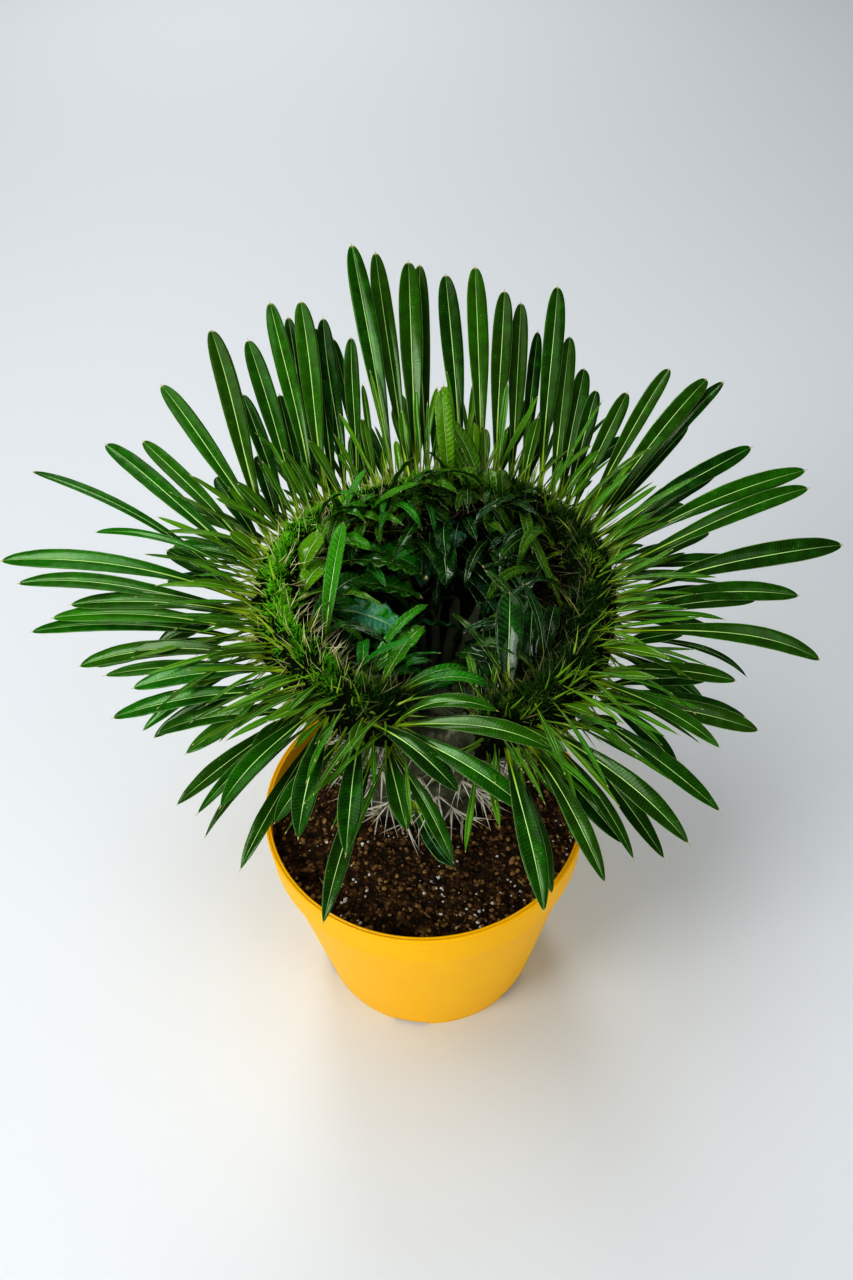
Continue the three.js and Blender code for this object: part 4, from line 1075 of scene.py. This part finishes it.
def bristle_finish(name, mottle, root, middle, tip, rough, painted_shade_colour=None):
    """a needle or spine: its colour runs from root to tip and differs from one to the next; where a painted
    shade colour is given, it darkens the bristles where the crest's painted light mark is low
    """
    finish, tree, shader = new_finish(name)
    root, middle, tip = ((*colour, 1) for colour in (root, middle, tip))
    along = tree.mark("along")
    low = tree.blend(tree.step(along, 0.0, 0.4), root, middle)
    colour = tree.blend(tree.step(along, 0.6, 1.0), low, tip)
    dull = tree.blend(0.6, colour, (0.01, 0.015, 0.006, 1))
    colour = tree.blend(tree.times(tree.mark("tone"), 0.6), colour, dull)
    # painted shade: bristles on the right of the crest turn to the dark painted shade colour
    if painted_shade_colour:
        colour = tree.blend(tree.mark("young"), (*painted_shade_colour, 1), colour)
    values = dict(Blotch_Scale=45.0, Grain_Scale=2500.0, Darkening=0.5, Lightening=0.4)
    bristle = use_group(tree, mottle, Colour=colour, Dark=root, Light=tip, **values)
    paint(tree, shader, bristle["Colour"], tree.plus(rough, tree.times(bristle["Grain"], 0.2)), 0.18)
    return finish


def felt_finish(mottle):
    finish, tree, shader = new_finish("crest_felt")
    values = dict(Colour=(0.009, 0.012, 0.003, 1), Dark=(0.003, 0.004, 0.001, 1))
    values |= dict(Light=(0.04, 0.045, 0.015, 1), Darkening=0.9, Lightening=0.8)
    values |= dict(Blotch_Scale=260.0, Grain_Scale=2200.0)
    felt = use_group(tree, mottle, **values)
    colour = tree.blend(tree.times(tree.mark("green"), 0.8), felt["Colour"], (0.01, 0.12, 0.003, 1))
    rough = tree.plus(0.7, tree.times(felt["Grain"], 0.2))
    paint(tree, shader, colour, rough, 0.08, felt["Grain"], 0.0012)
    return finish


# ---------------- what repeats
COVER = dict(Shape=SHAPE, Share=1.0, Density=1e5, Seed=1, Finish=FINISH)
BRISTLE = dict(Thickness=0.04, Bend=0.1, Sides=4, Segments=3)


def strewn_points(tree, take, least, most, shift):
    """points on the faces of a shape, and for each a turn between two triples of angles"""
    density = tree.times(take["Density"], take["Share"])
    values = dict(Mesh=take["Shape"], Density=density, Seed=take["Seed"])
    spots = tree.add("GeometryNodeDistributePointsOnFaces", **values)
    turn = tree.random(least, most, tree.plus(take["Seed"], shift), triple=True)
    turned = tree.first("FunctionNodeEulerToRotation", {0: turn})
    both = dict(Rotation=spots.outputs["Rotation"], Rotate_By=turned, rotation_space="LOCAL")
    return spots.outputs["Points"], tree.first("FunctionNodeRotateRotation", **both)


def keep_mark(tree, shape, name, value, domain="POINT"):
    values = dict(Geometry=shape, Name=name, Value=value, data_type="FLOAT", domain=domain)
    return tree.first("GeometryNodeStoreNamedAttribute", **values)


def stand_bristles(tree, take, points, rotation, length):
    """a needle on each point, made real, with a random tone and its finish: the finished group"""
    # the needle is one unit long, points up and is bent a little, and keeps its height as a mark
    sizes = dict(Vertices=take["Sides"], Side_Segments=take["Segments"], Depth=1.0)
    sizes |= dict(Radius_Top=0.0, Radius_Bottom=take["Thickness"], fill_type="NONE")
    cone = tree.add("GeometryNodeMeshCone", **sizes).outputs["Mesh"]
    spot = tree.add("ShaderNodeSeparateXYZ", {0: tree.first("GeometryNodeInputPosition")})
    height = spot.outputs["Z"]
    aside = tree.times(tree.math("POWER", height, 2.0), take["Bend"])
    marked = keep_mark(tree, cone, "along", height)
    offset = tree.first("ShaderNodeCombineXYZ", X=aside)
    needle = tree.first("GeometryNodeSetPosition", Geometry=marked, Offset=offset)

    values = dict(Points=points, Instance=needle, Rotation=rotation, Scale=length)
    instances = tree.first("GeometryNodeInstanceOnPoints", **values)
    toned = keep_mark(tree, instances, "tone", tree.random(0.0, 1.0, take["Seed"]), "INSTANCE")
    real = tree.first("GeometryNodeRealizeInstances", Geometry=toned)
    smoothed = tree.first("GeometryNodeSetShadeSmooth", Geometry=real)
    return tree.give(Shape=tree.first("GeometryNodeSetMaterial", Geometry=smoothed, Material=take["Finish"]))


def bristle_cover_group():
    """needles that stand on a surface, as densely as one of its marks says"""
    takes = COVER | BRISTLE | dict(Length_Min=0.006, Length_Max=0.012, Lean=0.6)
    tree, take = new_group("GeometryNodeTree", "bristle cover", takes, dict(Shape=SHAPE))
    most = tree.first("ShaderNodeCombineXYZ", X=take["Lean"], Z=2 * math.pi)
    points, rotation = strewn_points(tree, take, (0, 0, 0), most, 7.0)
    length = tree.random(take["Length Min"], take["Length Max"], tree.plus(take["Seed"], 13.0))
    return stand_bristles(tree, take, points, rotation, length)


def bristle_points_group():
    """spines on points that keep their own direction and length"""
    takes = dict(Shape=SHAPE, Seed=1, Finish=FINISH) | BRISTLE
    tree, take = new_group("GeometryNodeTree", "bristle points", takes, dict(Shape=SHAPE))
    ahead = tree.first("GeometryNodeInputNamedAttribute", Name="ahead", data_type="FLOAT_VECTOR")
    reach = tree.first("GeometryNodeInputNamedAttribute", Name="reach", data_type="FLOAT")
    rotation = tree.first("FunctionNodeAlignRotationToVector", Vector=ahead, axis="Z")
    return stand_bristles(tree, take, take["Shape"], rotation, reach)


def crumb_cover_group():
    """crumbs, grains or bits strewn over a surface"""
    takes = COVER | dict(Size_Min=0.001, Size_Max=0.003, Flatness=0.7, Stretch=1.3, Uneven=0.3)
    tree, take = new_group("GeometryNodeTree", "crumb cover", takes, dict(Shape=SHAPE))
    points, rotation = strewn_points(tree, take, (-0.5, -0.5, 0), (0.5, 0.5, 2 * math.pi), 3.0)
    size = tree.random(take["Size Min"], take["Size Max"], tree.plus(take["Seed"], 5.0))
    stretch = tree.random(1.0, take["Stretch"], tree.plus(take["Seed"], 9.0))
    sizes = dict(X=tree.times(size, stretch), Y=size, Z=tree.times(size, take["Flatness"]))
    scale = tree.first("ShaderNodeCombineXYZ", **sizes)
    ball = tree.add("GeometryNodeMeshIcoSphere", Radius=0.5, Subdivisions=1).outputs["Mesh"]
    values = dict(Points=points, Instance=ball, Rotation=rotation, Scale=scale)
    instances = tree.first("GeometryNodeInstanceOnPoints", **values)
    # each crumb is pushed out of round by its own place, and has a tone of its own
    real = tree.first("GeometryNodeRealizeInstances", Geometry=instances)
    where = tree.first("GeometryNodeInputPosition")
    lump = tree.add("ShaderNodeTexNoise", Vector=where, Scale=420.0, Detail=2.0).outputs["Color"]
    push = tree.first("ShaderNodeVectorMath", {0: lump, 1: (0.5, 0.5, 0.5)}, operation="SUBTRACT")
    scaled = tree.first("ShaderNodeVectorMath", {0: push}, Scale=take["Uneven"], operation="SCALE")
    pushed = tree.first("GeometryNodeSetPosition", Geometry=real, Offset=scaled)
    island = tree.add("GeometryNodeInputMeshIsland").outputs["Island Index"]
    toned = keep_mark(tree, pushed, "tone", tree.random(0.0, 1.0, take["Seed"], ID=island))
    return tree.give(Shape=tree.first("GeometryNodeSetMaterial", Geometry=toned, Material=take["Finish"]))


def grown(name, ground, group, **inputs):
    """a plain mesh of what the group makes on a copy of ground; inputs are named as the group's"""
    copy = ground.copy()
    copy.data = ground.data.copy()
    copy.name = name
    bpy.context.scene.collection.objects.link(copy)
    growth = copy.modifiers.new("growth", "NODES")
    growth.node_group = group
    sockets = {i.name: i.identifier for i in group.interface.items_tree if i.in_out == "INPUT"}
    for label, value in inputs.items():
        identifier = sockets[label.replace("_", " ").title()]
        if isinstance(value, str):
            growth[identifier + "_use_attribute"] = True
            growth[identifier + "_attribute_name"] = value
        else:
            growth[identifier] = value
    return baked(copy)


# ---------------- assembly
# piece; its finish, colours and roughness; its sizes
STREWN = [
    (
        "peat_crumbs",
        ("peat_crumb", "553a1c", "120a04", "b8935c"),
        dict(density=1.3e5, size_min=0.0013, size_max=0.0036, uneven=0.0012, seed=3),
    ),
    (
        "perlite_grains",
        ("perlite", "e9e6de", "b9b2a4", "ffffff", 0.8),
        dict(share="gritty_ground", density=3.2e4, size_min=0.0006, size_max=0.0026, uneven=0.0012, seed=8),
    ),
    (
        "straw_bits",
        ("straw_bits", "9a7a4a", "5a4226", "c9ac76", 0.7),
        dict(density=3e3, size_min=0.0008, size_max=0.0014, uneven=0.0003, seed=12)
        | dict(stretch=9.0, flatness=0.5),
    ),
]
# piece; its finish, colours of root, middle and tip, roughness and painted shade colour; its sizes
CREST_BRISTLES = [
    (
        "crest_needles",
        ("green_needle", (0.004, 0.04, 0), (0.15, 0.60, 0), (0.58, 0.98, 0.08), 0.3, (0.004, 0.025, 0)),
        dict(share="green", density=2.0e6, length_min=0.002, length_max=0.006, thickness=0.12, bend=0.12)
        | dict(lean=1.0, sides=3, segments=2, seed=21),
    ),
    (
        "crest_spines",
        ("straw_spine", (0.60, 0.62, 0.16), (0.98, 0.93, 0.62), (0.5, 0.34, 0.14), 0.4, (0.05, 0.06, 0.02)),
        dict(share="straw", density=4.4e4, length_min=0.009, length_max=0.021, thickness=0.025, bend=0.03)
        | dict(lean=1.3, seed=34),
    ),
    (
        "flank_spines",
        ("green_spine", (0.72, 0.84, 0.16), (0.50, 0.76, 0.06), (0.20, 0.14, 0.03), 0.35, (0.15, 0.32, 0.02)),
        dict(share="flank", density=2.6e4, length_min=0.010, length_max=0.026, thickness=0.04, bend=0.1)
        | dict(lean=0.28, seed=55),
    ),
]


def add_piece(thing, finish=None, node=None):
    if finish is not None:
        thing.data.materials.clear()
        thing.data.materials.append(finish)
    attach(thing, "root")
    if node:
        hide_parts(node)
    return thing


def build_plant():
    mottle, leaf_surface = mottle_group(), leaf_group()
    cover, spine_group, crumbs = bristle_cover_group(), bristle_points_group(), crumb_cover_group()

    add_piece(build_pot(), pot_finish(mottle), "pot")

    peat = soil_finish(mottle, "damp_peat", "35240f", "0d0703", "7d5c34")
    soil = add_piece(build_soil(), peat, "soil")
    for name, colours, sizes in STREWN:
        finish = soil_finish(mottle, *colours)
        sizes = dict(share="open_ground", finish=finish) | sizes
        add_piece(grown(name, soil, crumbs, **sizes))

    add_piece(build_stem(), bark_finish(mottle), "stem")
    colours = (0.80, 0.72, 0.55), (0.98, 0.96, 0.88), (0.85, 0.72, 0.5)
    spine = bristle_finish("pale_spine", mottle, *colours, 0.4)
    points = build_spine_points()
    sizes = dict(thickness=0.034, bend=0.05, sides=5, segments=4, seed=5, finish=spine)
    add_piece(grown("stem_spines", points, spine_group, **sizes))
    bpy.data.objects.remove(points)

    felt = add_piece(build_crest_felt(), felt_finish(mottle), "growing_edge")
    for name, colours, sizes in CREST_BRISTLES:
        finish = bristle_finish(colours[0], mottle, *colours[1:])
        add_piece(grown(name, felt, cover, finish=finish, **sizes))

    outer = build_leaves("outer_leaf_blades", outer_leaves(), 71)
    glossy = leaf_finish("dark_glossy_leaf", leaf_surface, 0.00014, 0.7, 0.2)
    add_piece(outer, glossy, "outer_leaves")
    add_piece(build_leaves("slender_leaf_blades", slender_leaves(), 79, SLENDER_ROWS), glossy)
    inner = build_leaves("inner_leaf_blades", inner_leaves(), 73)
    shades = dict(Deep=(0.001, 0.018, 0.001, 1), Fresh=(0.02, 0.26, 0.006, 1), Young=(0.15, 0.36, 0.002, 1))
    shades |= dict(Rib=(0.55, 0.78, 0.36, 1), Gloss=0.17, Vein_Spacing=3.2)
    crinkled = leaf_finish("crinkled_leaf", leaf_surface, 0.0011, 1.0, 0.4, **shades)
    add_piece(inner, crinkled, "inner_leaves")
    add_piece(build_leaves("curled_leaf_blades", curled_leaves(), 83), crinkled)


# ---------------- studio
FLOOR_REACH = 6.0
LIGHTS = [  # name, place, aim, size and power
    ("key", (-1.7, -1.05, 1.42), (0, 0.1, 0.2), 1.05, 18.5),
    ("front_window", (-0.1, -1.9, 0.7), (0, 0, 0.12), 0.9, 4.5),
    ("skylight", (-0.55, 0.2, 1.8), (0, 0, 0.2), 1.3, 9.5),
    ("backdrop", (-0.6, 3.0, 2.4), (-0.2, 2.2, 0), 1.4, 31),
    ("right_fill", (1.5, -1.5, 0.9), (0.25, -0.1, 0), 1.4, 4),
    ("shadow_fill", (0.75, -0.6, 0.6), (0.25, -0.05, 0), 0.5, 0.8),
    ("sheen_window", (-1.3, -1.15, 1.0), (0, 0.2, 0.3), 1.5, 36),
]
CAMERA_PLACE = (0.0039, -0.4055, 0.6766)
PITCH_DOWN, ROLL = 0.76496, -0.0296
FOCAL_PIXELS, IMAGE_HEIGHT = 1050, 1280


def add_light(name, place, aim, size, power):
    light = bpy.data.lights.new(name, "AREA")
    light.shape = "DISK"
    light.size = size
    light.energy = power
    lamp = link_new(name, light)
    lamp.location = place
    lamp.rotation_euler = (Vector(aim) - Vector(place)).to_track_quat("-Z", "Y").to_euler()
    return lamp


def build_studio():
    floor = bpy.data.meshes.new("floor")
    corners = [(x * FLOOR_REACH, y * FLOOR_REACH, 0) for x, y in ((-1, -1), (1, -1), (1, 1), (-1, 1))]
    floor.from_pydata(corners, [], [(0, 1, 2, 3)])
    sheet = link_new("floor", floor)
    finish, _, shader = new_finish("pale_floor")
    shader.inputs["Base Color"].default_value = (0.725, 0.755, 0.775, 1)
    shader.inputs["Roughness"].default_value = 0.7
    floor.materials.append(finish)

    lamps = {name: add_light(name, *values) for name, *values in LIGHTS}
    lamps["sheen_window"].visible_diffuse = False  # it only shows as gloss
    scene = bpy.context.scene
    scene.world = bpy.data.worlds.new("studio")
    scene.world.use_nodes = True
    sky = scene.world.node_tree.nodes["Background"]
    sky.inputs["Color"].default_value = (0.9, 0.92, 0.94, 1)
    sky.inputs["Strength"].default_value = 0.22
    scene.view_settings.view_transform = "Standard"
    scene.view_settings.look = "High Contrast"


def build_camera():
    camera = bpy.data.cameras.new("camera")
    camera.sensor_width = 36
    camera.lens = 36 * FOCAL_PIXELS / IMAGE_HEIGHT
    camera.clip_start = 0.01
    view = link_new("camera", camera)
    view.matrix_world = (
        Matrix.Translation(CAMERA_PLACE)
        @ Matrix.Rotation(math.pi / 2 - PITCH_DOWN, 4, "X")
        @ Matrix.Rotation(ROLL, 4, "Z")
    )
    bpy.context.scene.camera = view


build_camera()
build_studio()
build_plant()
